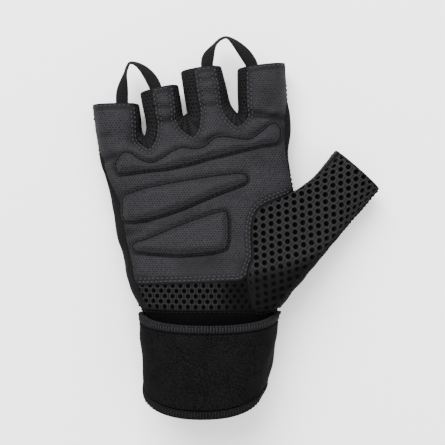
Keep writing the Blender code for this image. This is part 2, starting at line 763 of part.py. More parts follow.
def loop_foot(finger, share):
    """Where a pull loop's foot starts and leaves a finger stall, its way out and its tilt."""
    angle = angle_at(share, FINGER_ROUND)
    hem, base = (finger_point(finger, step, angle) for step in (1.0, FINGER_STEPS[-2]))
    way = (hem - base).normalized()
    slope = finger_point(finger, 1.0, angle - 8) - finger_point(finger, 1.0, angle + 8)
    tilt = math.atan2(slope.z, slope.x)
    sunk = LEATHER_WALL - LEATHER_PROUD + PLY_GAP + LOOP_WALL / 2 + LOOP_SINK
    hem = hem + Vector((math.sin(tilt), 0, -math.cos(tilt))) * sunk
    return hem - way * LOOP_TUCK, hem, way, tilt


def loop_solid(from_finger, from_share, to_finger, to_share, rise, lean):
    """A flat ribbon that stands up from two hems, turning edge-on at the top of its arch."""
    deep_a, hem_a, way_a, tilt_a = loop_foot(from_finger, from_share)
    deep_b, hem_b, way_b, tilt_b = loop_foot(to_finger, to_share)
    crest = Vector(
        ((hem_a.x + hem_b.x) / 2 + lean, max(hem_a.y, hem_b.y) + rise, (hem_a.z + hem_b.z) / 2)
    )
    level = Vector((1, 0, 0))
    reach_a, reach_b = crest - hem_a, crest - hem_b
    legs = [
        (hem_a, way_a, 0.28 * reach_a.y, crest, level, 0.38 * reach_a.x, False),
        (crest, level, -0.38 * reach_b.x, hem_b, -way_b, 0.28 * reach_b.y, True),
    ]
    crown = math.radians(78)
    line, turns = [deep_a], [tilt_a]
    half = LOOP_STEPS // 2
    for start, way_out, out, end, way_in, back, falling in legs:
        for k in range(half + 1):
            t = k / half
            if falling and k == 0:
                continue
            second, third = start + way_out * out, end - way_in * back
            place = start * (1 - t) ** 3 + second * (3 * t * (1 - t) ** 2)
            line.append(place + third * (3 * t * t * (1 - t)) + end * t**3)
            rest, eased = (-tilt_b, 1 - t) if falling else (tilt_a, t)
            turns.append(rest + (crown - rest) * eased * eased * (3 - 2 * eased))
    line.append(deep_b)
    turns.append(-tilt_b)
    top, bottom = [], []
    for k, place in enumerate(line):
        along = (line[min(k + 1, len(line) - 1)] - line[max(k - 1, 0)]).normalized()
        flat = along.cross(Vector((0, 0, 1))).normalized()
        wide = flat * math.cos(turns[k]) + Vector((0, 0, 1)) * math.sin(turns[k])
        thick = wide.cross(along).normalized()
        edges = [place + wide * (LOOP_WIDTH / 2 * side) for side in (-1, 1)]
        top.append([p + thick * (LOOP_WALL / 2) for p in edges])
        bottom.append([p - thick * (LOOP_WALL / 2) for p in edges])
    return grid_solid(top, bottom)


def mesh_cells(net):
    """Cells of the thumb's mesh that are open: all but the ring next to its seams."""
    cells = net.panels["thumb_mesh"]
    own = set(cells)
    seams = {
        face
        for face in cells
        for edge in face.edges
        if sum(f in own for f in edge.link_faces) == 1
    }
    return own - seams


def make_panels(net, collection, parent):
    holes = mesh_cells(net)
    sheets = [
        ("palm_leather", LEATHER_WALL, LEATHER_PROUD, "leather"),
        ("back_panel", BACK_WALL, 0.0, "knit"),
        ("heel_mesh", MESH_WALL, 0.0, "mesh"),
        ("thumb_mesh", MESH_WALL, 0.0, "mesh"),
        ("thumb_back", BACK_WALL, 0.0, "knit"),
        ("thumb_patch", LEATHER_WALL, LEATHER_PROUD, "leather"),
        ("cuff", CUFF_WALL, 0.0, "neoprene"),
    ]
    sheets += [(name, WEB_WALL, 0.0, "mesh") for name in net.panels if name.startswith("four")]
    for name, wall, proud, finish in sheets:
        solid = panel_solid(net, name, wall, proud, lambda face: face in holes)
        add_object(name, solid, finish, collection, parent)


def make_wrap(collection, parent):
    top = -WRAP_SET
    low = top - BINDING_HEIGHT - SEAM_GAP - WRAP_HEIGHT
    hem = low - SEAM_GAP
    dips = (WRAP_DIP_LOW, WRAP_DIP_TOP)
    bands = [
        ("wrist_wrap", low, low + WRAP_HEIGHT, WRAP_WALL, dips, "neoprene"),
        ("wrap_top_binding", top - BINDING_HEIGHT, top, BINDING_WALL, dips[1:] * 2, "binding"),
        ("wrap_bottom_binding", hem - BINDING_HEIGHT, hem, BINDING_WALL, dips[:1] * 2, "binding"),
    ]
    for name, bottom, upper, wall, ends, finish in bands:
        solid = strap_solid(WRAP_START, WRAP_END, bottom, upper, wall, ends)
        add_object(name, solid, finish, collection, parent)
    around = math.degrees(1 / (WRIST_DEPTH / 2 + 2 * WRAP_WALL))
    middle = low + WRAP_HEIGHT / 2
    tab_start = WRAP_END - SEAM_GAP * around
    solid = strap_solid(
        tab_start,
        tab_start - TAB_LENGTH * around,
        middle - TAB_HEIGHT / 2,
        middle + TAB_HEIGHT / 2,
        WRAP_WALL * 0.7,
        step=6.0,
    )
    add_object("closure_tab", solid, "hook_tape", collection, parent)


def seat_on_origin(parent, objects):
    """Moves the glove so that the origin is under the middle of its box."""
    points = [v.co for obj in objects for v in obj.data.vertices]
    low = Vector([min(p[k] for p in points) for k in range(3)])
    high = Vector([max(p[k] for p in points) for k in range(3)])
    parent.location = (-(low.x + high.x) / 2, -(low.y + high.y) / 2, -low.z)


def main():
    for obj in list(bpy.data.objects):
        bpy.data.objects.remove(obj)
    collection = bpy.data.collections.new("weightlifting_glove")
    bpy.context.scene.collection.children.link(collection)
    parent = bpy.data.objects.new("glove", None)
    collection.objects.link(parent)
    net = Net()
    put_trunk(net)
    put_fingers(net)
    put_webs(net)
    lay_hand(net)
    lay_webs(net)
    lay_thumb(net)
    net.close()
    make_panels(net, collection, parent)
    for name, rows in PADS.items():
        add_object(name, pad_solid(rows), "leather", collection, parent)
    make_wrap(collection, parent)
    for name, *shape in LOOPS:
        add_object(name, loop_solid(*shape), "webbing", collection, parent)
    seat_on_origin(parent, [o for o in collection.objects if o.type == "MESH"])


main()
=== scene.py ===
import math

import bmesh
import bpy
import numpy as np
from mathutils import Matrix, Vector, noise
from mathutils.bvhtree import BVHTree
from mathutils.kdtree import KDTree


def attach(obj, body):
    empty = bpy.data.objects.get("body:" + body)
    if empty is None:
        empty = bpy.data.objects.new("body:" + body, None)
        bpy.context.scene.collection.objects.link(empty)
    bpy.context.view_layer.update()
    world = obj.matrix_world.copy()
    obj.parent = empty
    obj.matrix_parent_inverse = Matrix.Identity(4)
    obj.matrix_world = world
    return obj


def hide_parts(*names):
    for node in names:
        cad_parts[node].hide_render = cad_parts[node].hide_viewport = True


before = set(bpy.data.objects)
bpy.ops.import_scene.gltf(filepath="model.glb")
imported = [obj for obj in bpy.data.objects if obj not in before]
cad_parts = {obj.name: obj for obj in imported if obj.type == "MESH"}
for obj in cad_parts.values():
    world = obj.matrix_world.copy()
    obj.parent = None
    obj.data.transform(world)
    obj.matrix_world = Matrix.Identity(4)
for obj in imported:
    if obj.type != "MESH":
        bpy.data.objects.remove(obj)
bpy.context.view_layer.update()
print("frame loaded")

# The skin of the hand, in metres from the cuff seam; x to the thumb, y to the fingers, z up.
hand = {
    "place": (-0.01581, -0.04435, 0.0),  # from the cuff seam to the frame's origin
    "palmWidth": 0.0965, "palmLength": 0.0838, "palmDepth": 0.030,
    "wristWidth": 0.0640, "wristDepth": 0.0365, "cuffLength": 0.0440, "cuffLift": 0.0074,
    "palmRound": 2.5, "backRound": 3.6, "wristRound": 2.3, "squareBy": 0.40, "sideShare": 0.47,
    "backEdge": 0.80, "backDrop": 0.0090,
    "laneEdges": (0.0, 0.262, 0.497, 0.738, 1.0), "laneColumns": 4, "sideSteps": 4, "crotchRow": 8,
    "cornerPull": (-0.0022, 0.0026, 0.0), "nextPull": (0.0, 0.0006, 0.0),  # by the thumb's root
}
fingerSet = {
    "width": 0.0225, "depth": 0.0205, "length": 0.0220, "round": 2.3,
    "webDrop": 0.0075, "slope": 12.7, "steps": (0.12, 0.42, 0.72, 1.0),
    "rootDepth": 0.50, "depthLoss": 0.045, "rootHeight": 0.55, "heightLoss": 0.01,
}
thumbSet = {
    "reach": 0.0800, "rise": 0.0721, "width": 0.0305, "depth": 0.0185, "lean": 41.6, "rings": 9,
    "pull": 0.34, "patchFrom": 2,  # a strand's handles as a share of it, and the patch's first ring
}
thumbWays = {  # how the cloth leaves the sides of the thumb's root
    "crotch": (0.88, 0.42, 0.0), "under": (0.65, 0.76, 0.0), "palm": (0.97, 0.0, -0.24),
    "back": (0.94, 0.0, 0.33), "forward": 0.55, "droop": 1.2,
}
cuffSections = [  # along, left, right, depth, as shares of the cuff and the wrist
    (-0.07, -0.478, 0.520, 0.990),
    (-0.34, -0.476, 0.506, 1.000),
    (-0.68, -0.454, 0.466, 1.000),
    (-1.00, -0.447, 0.405, 0.985),
]
handSections = [  # along, left, right, bottom, top, as shares of the palm
    (0.000, -0.345, 0.392, None, 1.380),
    (0.144, -0.415, 0.416, 0.100, 1.240),
    (0.288, -0.440, 0.430, 0.005, 1.140),
    (0.431, -0.474, 0.450, -0.012, 1.070),
    (0.576, -0.502, 0.468, -0.012, 1.010),
    (0.720, -0.522, 0.480, -0.012, 0.965),
    (0.818, -0.545, 0.463, -0.012, 0.930),
    (0.933, -0.578, 0.450, -0.012, 0.885),
    (1.054, -0.594, 0.458, -0.006, 0.845),
    (1.230, -0.602, 0.458, 0.028, 0.800),
]
handRows = [  # yLeft, yRight, leatherLeft, leatherRight, as shares of the palm
    (0.000, 0.000, -0.300, 0.253),
    (0.160, 0.190, -0.367, 0.237),
    (0.258, 0.303, -0.385, 0.247),
    (0.348, 0.408, -0.404, 0.243),
    (0.443, 0.503, -0.425, 0.244),
    (0.528, 0.581, -0.439, 0.262),
    (0.593, 0.635, -0.450, 0.304),
    (0.640, 0.683, -0.461, 0.394),
    (0.683, 0.725, -0.474, 0.469),
    (0.738, 0.845, -0.496, 0.452),
    (0.795, 0.966, -0.522, 0.431),
    (0.851, 1.084, -0.540, 0.432),
    (0.906, 1.199, -0.555, 0.433),
]
# Places are shares of the palm, tipY of a finger's length, halves of its width; slopes in degrees.
fingers = [  # baseX, baseY, tipX, tipY, baseHalf, tipHalf, slope, seamLeft, seamRight
    (-0.466, 1.054, -0.492, 0.836, 0.529, 0.547, 1.0, -0.97, 0.84),
    (-0.221, 1.155, -0.256, 0.823, 0.448, 0.462, 12.4, -0.36, 0.74),
    (0.021, 1.224, -0.027, 1.041, 0.528, 0.484, 7.8, -0.36, 0.70),
    (0.310, 1.230, 0.303, 1.082, 0.590, 0.566, 6.6, -0.66, 0.97),
]
crotches = [(-0.334, 1.084), (-0.109, 1.226), (0.160, 1.239)]


def smoothRow(rows, at):
    table = np.array(rows, float)
    place = table[:, 0]
    slopes = np.gradient(table, place, axis=0)
    at = min(max(at, place[0]), place[-1])
    i = min(int(np.searchsorted(place, at, side="right")) - 1, len(place) - 2)
    step = place[i + 1] - place[i]
    t = (at - place[i]) / step
    return (
        table[i] * (1 + 2 * t) * (1 - t) ** 2 + slopes[i] * step * t * (1 - t) ** 2
        + table[i + 1] * t * t * (3 - 2 * t) + slopes[i + 1] * step * t * t * (t - 1)
    )


def ease(t):
    t = min(max(t, 0.0), 1.0)
    return t * t * (3 - 2 * t)


def easeArray(t):
    t = np.clip(t, 0, 1)
    return t * t * (3 - 2 * t)


def bezier(start, second, third, end, t):
    early = start * (1 - t) ** 3 + second * (3 * t * (1 - t) ** 2)
    return early + third * (3 * t * t * (1 - t)) + end * t**3


def trunkStations():
    lift, rows = hand["cuffLift"], []
    for along, left, right, depth in reversed(cuffSections):
        rows.append((
            along * hand["cuffLength"], left * hand["wristWidth"], right * hand["wristWidth"],
            lift, lift + depth * hand["wristDepth"],
        ))
    for along, left, right, bottom, top in handSections:
        floor = lift if bottom is None else bottom * hand["palmDepth"]
        rows.append((
            along * hand["palmLength"], left * hand["palmWidth"], right * hand["palmWidth"],
            floor, top * hand["palmDepth"],
        ))
    return rows


trunk = trunkStations()


def rounded(share, exponent):
    return (1 - min(abs(share), 1.0) ** exponent) ** (1 / exponent)


def onSection(angle, exponent):
    c, s = math.cos(math.radians(angle)), math.sin(math.radians(angle))
    return (
        math.copysign(abs(c) ** (2 / exponent), c),
        math.copysign(abs(s) ** (2 / exponent), s),
    )


def angleAt(share, exponent):
    return math.degrees(math.acos(math.copysign(abs(share) ** (exponent / 2), share)))


def trunkFrame(y):
    table = np.array(trunk)
    if y < cuffSections[0][0] * hand["cuffLength"]:
        left, right, bottom, top = (np.interp(y, table[:, 0], table[:, k]) for k in range(1, 5))
    else:
        left, right, bottom, top = smoothRow(trunk, y)[1:]
    side = bottom + hand["sideShare"] * (top - bottom)
    return (left + right) / 2, (right - left) / 2, side, side - bottom, top - side


def trunkRounds(y):
    t = ease(y / (hand["squareBy"] * hand["palmLength"]))
    wrist = hand["wristRound"]
    return [wrist + (end - wrist) * t for end in (hand["palmRound"], hand["backRound"])]


def palmPoint(x, y):
    middle, half, side, _, above = trunkFrame(y)
    return Vector((x, y, side + above * rounded((x - middle) / half, trunkRounds(y)[0])))


def backPoint(share, y):
    middle, half, side, below, _ = trunkFrame(y)
    z = side - below * rounded(share, trunkRounds(y)[1])
    return Vector((middle + share * half, y, max(0.0, z)))


def trunkPoint(angle, y, grow=0.0):
    middle, half, side, below, above = trunkFrame(y)
    over = angle % 360 <= 180
    c, s = onSection(angle, trunkRounds(y)[0 if over else 1])
    z = side + s * (grow + (above if over else below))
    return Vector((middle + (half + grow) * c, y, max(0.0, z)))


def sideAngles(palmAngle, backAngle, steps):
    turn = 180.0 if palmAngle > 90 else 0.0
    first, rest = steps // 2, steps - steps // 2
    angles = [palmAngle + (turn - palmAngle) * k / first for k in range(1, first + 1)]
    return angles + [turn + (backAngle - turn) * k / rest for k in range(1, rest)]


def fingerPoint(finger, step, angle):
    baseX, baseY, tipX, tipY, baseHalf, tipHalf, slope, _, _ = fingers[finger]
    base = Vector((baseX * hand["palmWidth"], baseY * hand["palmLength"], 0))
    tip = Vector((tipX * hand["palmWidth"], base.y + tipY * fingerSet["length"], 0))
    middle = base.lerp(tip, step)
    half = (baseHalf + (tipHalf - baseHalf) * step) * fingerSet["width"]
    depth = (fingerSet["rootDepth"] - fingerSet["depthLoss"] * step) * fingerSet["depth"]
    height = (fingerSet["rootHeight"] - fingerSet["heightLoss"] * step) * fingerSet["depth"]
    tilt = math.radians(fingerSet["slope"] + (slope - fingerSet["slope"]) * step)
    c, s = onSection(angle, fingerSet["round"])
    drop = fingerSet["webDrop"] * (1 - step) ** 1.5 * abs(s)
    x, y = middle.x + half * c * math.cos(tilt), middle.y + half * c * math.sin(tilt) - drop
    return Vector((x, y, height + depth * s))


def fingerSeams(finger):
    left, right = (angleAt(share, fingerSet["round"]) for share in fingers[finger][7:])
    outer = angleAt(hand["backEdge"], fingerSet["round"])
    return left, right, 180 + outer, 360 - outer


lanes, laneColumns, sideSteps = len(fingers), hand["laneColumns"], hand["sideSteps"]
columns, topRow, cuffRows = lanes * laneColumns, len(handRows) - 1, len(cuffSections)
underSteps, fingerRows, crotchRow = sideSteps + 1, len(fingerSet["steps"]), hand["crotchRow"]
panelNames = [
    "palm_leather", "back_panel", "heel_mesh", "thumb_mesh", "thumb_back", "thumb_patch", "cuff",
    "fourchette_little_ring", "fourchette_ring_middle", "fourchette_middle_index",
]
points, quads, quadPanels, quadFlats = {}, [], [], []


def unroll(rows):  # cloth coordinates of a sheet: lengths along its rows and its middle column
    places = [[points[key] for key in row] for row in rows]
    middle, high, flats = len(rows[0]) // 2, 0.0, []
    for r, row in enumerate(places):
        if r:
            high += (row[middle] - places[r - 1][middle]).length
        gone = np.concatenate([[0.0], np.cumsum([(b - a).length for a, b in zip(row, row[1:])])])
        flats.append([(float(g - gone[middle]), high) for g in gone])
    return flats


def laySheet(panel, rows, flats=None):
    flats = flats or unroll(rows)
    for r in range(len(rows) - 1):
        for c in range(len(rows[r]) - 1):
            corners = ((r, c), (r, c + 1), (r + 1, c + 1), (r + 1, c))
            quads.append(tuple(rows[i][j] for i, j in corners))
            quadFlats.append([flats[i][j] for i, j in corners])
            quadPanels.append(panelNames.index(panel))


def putRow(row, yLeft, yRight, left, right, steps):
    drop = hand["backDrop"] * math.sin(math.pi * max(row, 0) / topRow)
    for column in range(columns + 1):
        lane = min(column // laneColumns, lanes - 1)
        low, high = hand["laneEdges"][lane], hand["laneEdges"][lane + 1]
        share = low + (high - low) * (column - lane * laneColumns) / laneColumns
        y = yLeft + (yRight - yLeft) * share
        points["palm", row, column] = palmPoint(left + (right - left) * share, y)
        spread = hand["backEdge"] * (2 * share - 1)
        points["back", row, column] = backPoint(spread, y - drop * share**3)
    for side, y, x, count in (("left", yLeft, left, sideSteps), ("right", yRight, right, steps)):
        middle, half = trunkFrame(y)[:2]
        palmRound, backRound = trunkRounds(y)
        edge = angleAt(hand["backEdge"], backRound)
        palmAngle = angleAt((x - middle) / half, palmRound)
        backAngle = 180 + edge if side == "left" else -edge
        for k, angle in enumerate(sideAngles(palmAngle, backAngle, count), start=1):
            lower = drop * (k / count) ** 1.5 if side == "right" else 0.0
            points[side, row, k] = trunkPoint(angle, y - lower)


def putTrunk():
    width, length = hand["palmWidth"], hand["palmLength"]
    for row, (yLeft, yRight, left, right) in enumerate(handRows):
        steps = underSteps if row == 0 else sideSteps
        putRow(row, yLeft * length, yRight * length, left * width, right * width, steps)
    left, right = handRows[0][2] * width, handRows[0][3] * width
    seamWidth = trunk[cuffRows][2] - trunk[cuffRows][1]
    for row, (along, low, high, _) in enumerate(cuffSections):
        narrower = (high - low) * hand["wristWidth"] / seamWidth
        y = along * hand["cuffLength"]
        putRow(-1 - row, y, y, left * narrower, right * narrower, underSteps)


def putFingers():
    for finger in range(lanes):
        left, right, backLeft, backRight = fingerSeams(finger)
        for k, step in enumerate(fingerSet["steps"], start=1):
            for column in range(laneColumns + 1):
                share = column / laneColumns
                palm, back = left + (right - left) * share, backLeft + (backRight - backLeft) * share
                points["palm", finger, k, column] = fingerPoint(finger, step, palm)
                points["back", finger, k, column] = fingerPoint(finger, step, back)
            for side, start, end in (("left", left, backLeft), ("right", right, backRight - 360)):
                for j, angle in enumerate(sideAngles(start, end, sideSteps), start=1):
                    points[side, finger, k, j] = fingerPoint(finger, step, angle)


def putWebs():
    for web, (x, y) in enumerate(crotches):
        column = (web + 1) * laneColumns
        palm, back = points["palm", topRow, column], points["back", topRow, column]
        ridge = Vector((x * hand["palmWidth"], y * hand["palmLength"], 0.5 * fingerSet["depth"]))
        for j in range(1, sideSteps):
            turn = math.pi * j / sideSteps
            end = palm if j * 2 < sideSteps else back
            level, reach = abs(math.cos(turn)) ** 0.9, math.sin(turn)
            points["web", web, j] = Vector((
                end.x + (ridge.x - end.x) * reach,
                end.y + (ridge.y - end.y) * reach,
                ridge.z + (end.z - ridge.z) * level,
            ))


def sideKeys(side, row, steps=sideSteps):
    edge = 0 if side == "left" else columns
    middle = [(side, row, k) for k in range(1, steps)]
    return [("palm", row, edge)] + middle + [("back", row, edge)]


def laneKey(face, finger, k, column):
    if k == 0:
        return (face, topRow, finger * laneColumns + column)
    return (face, finger, k, column)


def fingerSideKeys(finger, side, k):
    edge = 0 if side == "left" else laneColumns
    if k == 0:
        return sideKeys(side, topRow)
    middle = [(side, finger, k, j) for j in range(1, sideSteps)]
    return [("palm", finger, k, edge)] + middle + [("back", finger, k, edge)]


def unrollFace(face):  # one set of cloth coordinates over the trunk and the fingers
    flat = {}
    for r in range(topRow + 1):
        row = [(face, r, c) for c in range(columns + 1)]
        middle = points[row[columns // 2]]
        for key, (u, _) in zip(row, unroll([row])[0]):
            flat[key] = (middle.x + u, points[key].y)
    for finger in range(lanes):
        base = laneKey(face, finger, 0, laneColumns // 2)
        for k in range(1, fingerRows + 1):
            row = [laneKey(face, finger, k, c) for c in range(laneColumns + 1)]
            slide = points[row[laneColumns // 2]].x - points[base].x
            for key, (u, _) in zip(row, unroll([row])[0]):
                flat[key] = (flat[base][0] + slide + u, points[key].y)
    return flat


def layFace(face, panel, first):
    flat, along = unrollFace(face), range(fingerRows + 1)
    rows = [[(face, r, c) for c in range(columns + 1)] for r in range(first, topRow + 1)]
    laySheet(panel, rows, [[flat[key] for key in row] for row in rows])
    for finger in range(lanes):
        rows = [[laneKey(face, finger, k, c) for c in range(laneColumns + 1)] for k in along]
        laySheet(panel, rows, [[flat[key] for key in row] for row in rows])


def layHand():
    across, along = range(columns + 1), range(fingerRows + 1)
    layFace("palm", "palm_leather", 1)
    layFace("back", "back_panel", 0)
    laySheet("heel_mesh", [[("palm", r, c) for c in across] for r in (0, 1)])
    laySheet("back_panel", [sideKeys("left", r) for r in range(topRow + 1)])
    laySheet("back_panel", [sideKeys("right", r) for r in range(crotchRow, topRow + 1)])
    laySheet("back_panel", [fingerSideKeys(0, "left", k) for k in along])
    laySheet("back_panel", [fingerSideKeys(lanes - 1, "right", k) for k in along])
    rings = []
    for row in range(-cuffRows, 1):
        palm = [("palm", row, c) for c in across]
        under = sideKeys("right", row, underSteps)[1:-1]
        back = [("back", row, c) for c in reversed(across)]
        rings.append(palm + under + back + sideKeys("left", row)[-2:0:-1] + palm[:1])
    laySheet("cuff", rings)


def layWebs():
    for web in range(lanes - 1):
        column = (web + 1) * laneColumns
        low = [("palm", topRow, column)] + [("web", web, j) for j in range(1, sideSteps)]
        low.append(("back", topRow, column))
        steps = range(fingerRows, 0, -1)
        rows = [fingerSideKeys(web, "right", k) for k in steps] + [low]
        rows += [fingerSideKeys(web + 1, "left", k) for k in reversed(steps)]
        laySheet(panelNames[7 + web], rows)


def thumbBase():
    palm = [("palm", r, columns) for r in range(crotchRow, -1, -1)]
    under = sideKeys("right", 0, underSteps)[1:-1]
    back = [("back", r, columns) for r in range(0, crotchRow + 1)]
    return palm + under + back + sideKeys("right", crotchRow)[-2:0:-1]


def tipAngles(base):
    inner = base.index(("right", crotchRow, sideSteps // 2))
    outer = base.index(("right", 0, underSteps // 2))
    angles = {}
    for first, last, start, end in ((inner, outer, 180.0, 0.0), (outer, inner, 0.0, -180.0)):
        walk = [first]
        while walk[-1] != last:
            walk.append((walk[-1] + 1) % len(base))
        places = [points[base[i]] for i in walk]
        steps = [(b - a).length for a, b in zip(places, places[1:])]
        gone = 0.0
        for i, step in zip(walk, steps):
            angles[i] = start + (end - start) * gone / sum(steps)
            gone += step
    return angles


def thumbHeading(key, axis):
    if key[0] == "right" and key[1] == crotchRow:
        return Vector(thumbWays["crotch"]).normalized()
    if key[0] == "right" or key[1] == 0:
        return Vector(thumbWays["under"]).normalized()
    if key[0] == "palm":
        return (Vector(thumbWays["palm"]) + thumbWays["forward"] * axis).normalized()
    climb = 1 - thumbWays["droop"] * (key[1] / crotchRow) ** 4
    return (Vector(thumbWays["back"]) + thumbWays["forward"] * climb * axis).normalized()


def layThumb():
    base, lean, rings = thumbBase(), math.radians(thumbSet["lean"]), thumbSet["rings"]
    across = Vector((math.cos(lean), -math.sin(lean), 0))
    axis = Vector((math.sin(lean), math.cos(lean), 0))
    tip = Vector((thumbSet["reach"], thumbSet["rise"], 0.45 * hand["palmDepth"]))
    for i, angle in tipAngles(base).items():
        c, s = onSection(angle, fingerSet["round"])
        end = tip + across * (c * thumbSet["width"] / 2) + Vector((0, 0, s * thumbSet["depth"] / 2))
        start = points[base[i]]
        reach = (end - start).length
        second = start + thumbHeading(base[i], axis) * (thumbSet["pull"] * reach)
        third = end - axis * (thumbSet["pull"] * reach)
        for ring in range(1, rings + 1):
            points["thumb", ring, i] = bezier(start, second, third, end, ring / rings)
    rows = [base + base[:1]]
    for ring in range(1, rings + 1):
        names = [("thumb", ring, i) for i in range(len(base))]
        rows.append(names + names[:1])
    patchColumns = (len(base) - 2, len(base) - 1, 0)
    flats = unroll(rows)
    for ring, (low, high) in enumerate(zip(rows, rows[1:])):
        for i in range(len(base)):
            panel = "thumb_back"
            if i in patchColumns and ring >= thumbSet["patchFrom"]:
                panel = "thumb_patch"
            elif i < crotchRow + 1 or i in patchColumns:
                panel = "thumb_mesh"
            corners = [flats[ring][i:i + 2], flats[ring + 1][i:i + 2]]
            laySheet(panel, [low[i:i + 2], high[i:i + 2]], corners)


putTrunk()
putFingers()
putWebs()
layHand()
layWebs()
layThumb()
points["palm", 1, columns] += Vector(hand["cornerPull"])  # rounds the leather's lower corner
points["palm", 1, columns - 1] += Vector(hand["nextPull"])
shift = Vector(hand["place"])
for key in points:
    points[key] = points[key] + shift
print("net laid", len(quads))


def skinMesh(places):
    mesh = bpy.data.meshes.new("skin")
    index = {key: i for i, key in enumerate(points)}
    mesh.from_pydata(places, [], [[index[key] for key in quad] for quad in quads])
    panel = mesh.attributes.new("panel", "INT", "FACE")
    panel.data.foreach_set("value", quadPanels)
    flat = mesh.uv_layers.new(name="cloth")
    flat.data.foreach_set("uv", [v for corners in quadFlats for uv in corners for v in uv])
    shell = bmesh.new()
    shell.from_mesh(mesh)
    bmesh.ops.recalc_face_normals(shell, faces=shell.faces)
    shell.faces.ensure_lookup_table()
    if shell.faces[0].normal.z < 0:
        bmesh.ops.reverse_faces(shell, faces=shell.faces)
    shell.to_mesh(mesh)
    shell.free()
    return mesh


def refine(mesh, level):
    obj = bpy.data.objects.new("skin", mesh)
    bpy.context.scene.collection.objects.link(obj)
    smooth = obj.modifiers.new("smooth", "SUBSURF")
    smooth.levels = smooth.render_levels = level
    smooth.boundary_smooth = "PRESERVE_CORNERS"
    seen = obj.evaluated_get(bpy.context.evaluated_depsgraph_get()).data
    count, faces = len(seen.vertices), len(seen.polygons)
    skin = {
        "place": np.empty(count * 3), "normal": np.empty(count * 3), "panel": np.empty(faces, int),
        "face": np.empty(faces * 4, int), "flat": np.empty(faces * 8),
    }
    seen.vertices.foreach_get("co", skin["place"])
    seen.vertex_normals.foreach_get("vector", skin["normal"])
    seen.loops.foreach_get("vertex_index", skin["face"])
    seen.attributes["panel"].data.foreach_get("value", skin["panel"])
    seen.uv_layers["cloth"].data.foreach_get("uv", skin["flat"])
    bpy.data.objects.remove(obj)
    skin["place"], skin["normal"] = skin["place"].reshape(-1, 3), skin["normal"].reshape(-1, 3)
    skin["face"], skin["flat"] = skin["face"].reshape(-1, 4), skin["flat"].reshape(-1, 4, 2)
    return skin


def makeSkin(level):  # the net's points lie on the refined skin, not inside it
    wanted = np.array([tuple(place) for place in points.values()])
    places = wanted.copy()
    for _ in range(2):
        near = refine(skinMesh(places), 2)["place"][:len(wanted)]
        places += wanted - near
    return refine(skinMesh(places), level)


skin = makeSkin(3)
print("skin refined", len(skin["face"]))


def treeOf(places):
    tree = KDTree(len(places))
    for i, place in enumerate(places):
        tree.insert(place, i)
    tree.balance()
    return tree


def rimEdges(faces):
    sides = np.concatenate([faces[:, [k, (k + 1) % 4]] for k in range(4)])
    ordered = np.sort(sides, axis=1)
    _, first, count = np.unique(ordered, axis=0, return_index=True, return_counts=True)
    return sides[first[count == 1]]


rimSteps = (0.0, 0.25, 0.5, 0.75)  # where each edge of a rim is sampled


def awayFrom(places, rim, spots):  # each spot's way to the rim
    tree = treeOf([places[a] * (1 - t) + places[b] * t for a, b in rim for t in rimSteps])
    return np.array([tree.find(spot)[2] for spot in spots])


def edgeOwners():
    owners = {}
    for k in range(4):
        pairs = np.sort(skin["face"][:, [k, (k + 1) % 4]], axis=1)
        for (a, b), panel in zip(pairs.tolist(), skin["panel"].tolist()):
            owners.setdefault((a, b), []).append(panel)
    return owners


owners = edgeOwners()


def cutPanel(name):  # one panel's share of the skin, with each point's way to its rim
    own = panelNames.index(name)
    chosen = skin["panel"] == own
    used, flatIndex = np.unique(skin["face"][chosen], return_inverse=True)
    faces = flatIndex.reshape(-1, 4)
    panel = {
        "face": faces, "flat": skin["flat"][chosen],
        "place": skin["place"][used], "normal": skin["normal"][used], "rim": rimEdges(faces),
    }
    samples, labels = [], []
    for a, b in panel["rim"].tolist():
        pair = tuple(sorted((int(used[a]), int(used[b]))))
        others = [p for p in owners[pair] if p != own]
        label = others[0] if others else -1
        for t in rimSteps:
            samples.append(panel["place"][a] * (1 - t) + panel["place"][b] * t)
            labels.append(label)
    tree = treeOf(samples)
    found = [tree.find(place) for place in panel["place"]]
    panel["away"] = np.array([f[2] for f in found])
    panel["beside"] = np.array([labels[f[1]] for f in found])
    return panel


def pullIn(panel, gap):  # the rim steps back from its seam
    rim = np.unique(panel["rim"])
    middles = panel["place"][panel["face"]].mean(axis=1)
    total = np.zeros_like(panel["place"])
    count = np.zeros(len(panel["place"]))
    for k in range(4):
        np.add.at(total, panel["face"][:, k], middles)
        np.add.at(count, panel["face"][:, k], 1)
    way = total / count[:, None] - panel["place"]
    way -= panel["normal"] * (way * panel["normal"]).sum(axis=1)[:, None]
    length = np.linalg.norm(way, axis=1)
    inside = (panel["beside"] >= 0) & (length > 1e-7)
    rim = rim[inside[rim]]
    panel["place"][rim] += way[rim] / length[rim, None] * gap


def addMesh(name, places, faces, flats=None, values=None):
    mesh = bpy.data.meshes.new(name)
    mesh.from_pydata([tuple(p) for p in places], [], [tuple(f) for f in faces])
    if flats is not None:
        layer = mesh.uv_layers.new(name="cloth")
        layer.data.foreach_set("uv", np.asarray(flats, float).reshape(-1))
    for key, row in (values or {}).items():
        layer = mesh.attributes.new(key, "FLOAT", "POINT")
        layer.data.foreach_set("value", np.asarray(row, float))
    mesh.shade_smooth()
    mesh.set_sharp_from_angle(angle=math.radians(60))
    obj = bpy.data.objects.new(name, mesh)
    bpy.context.scene.collection.objects.link(obj)
    return obj


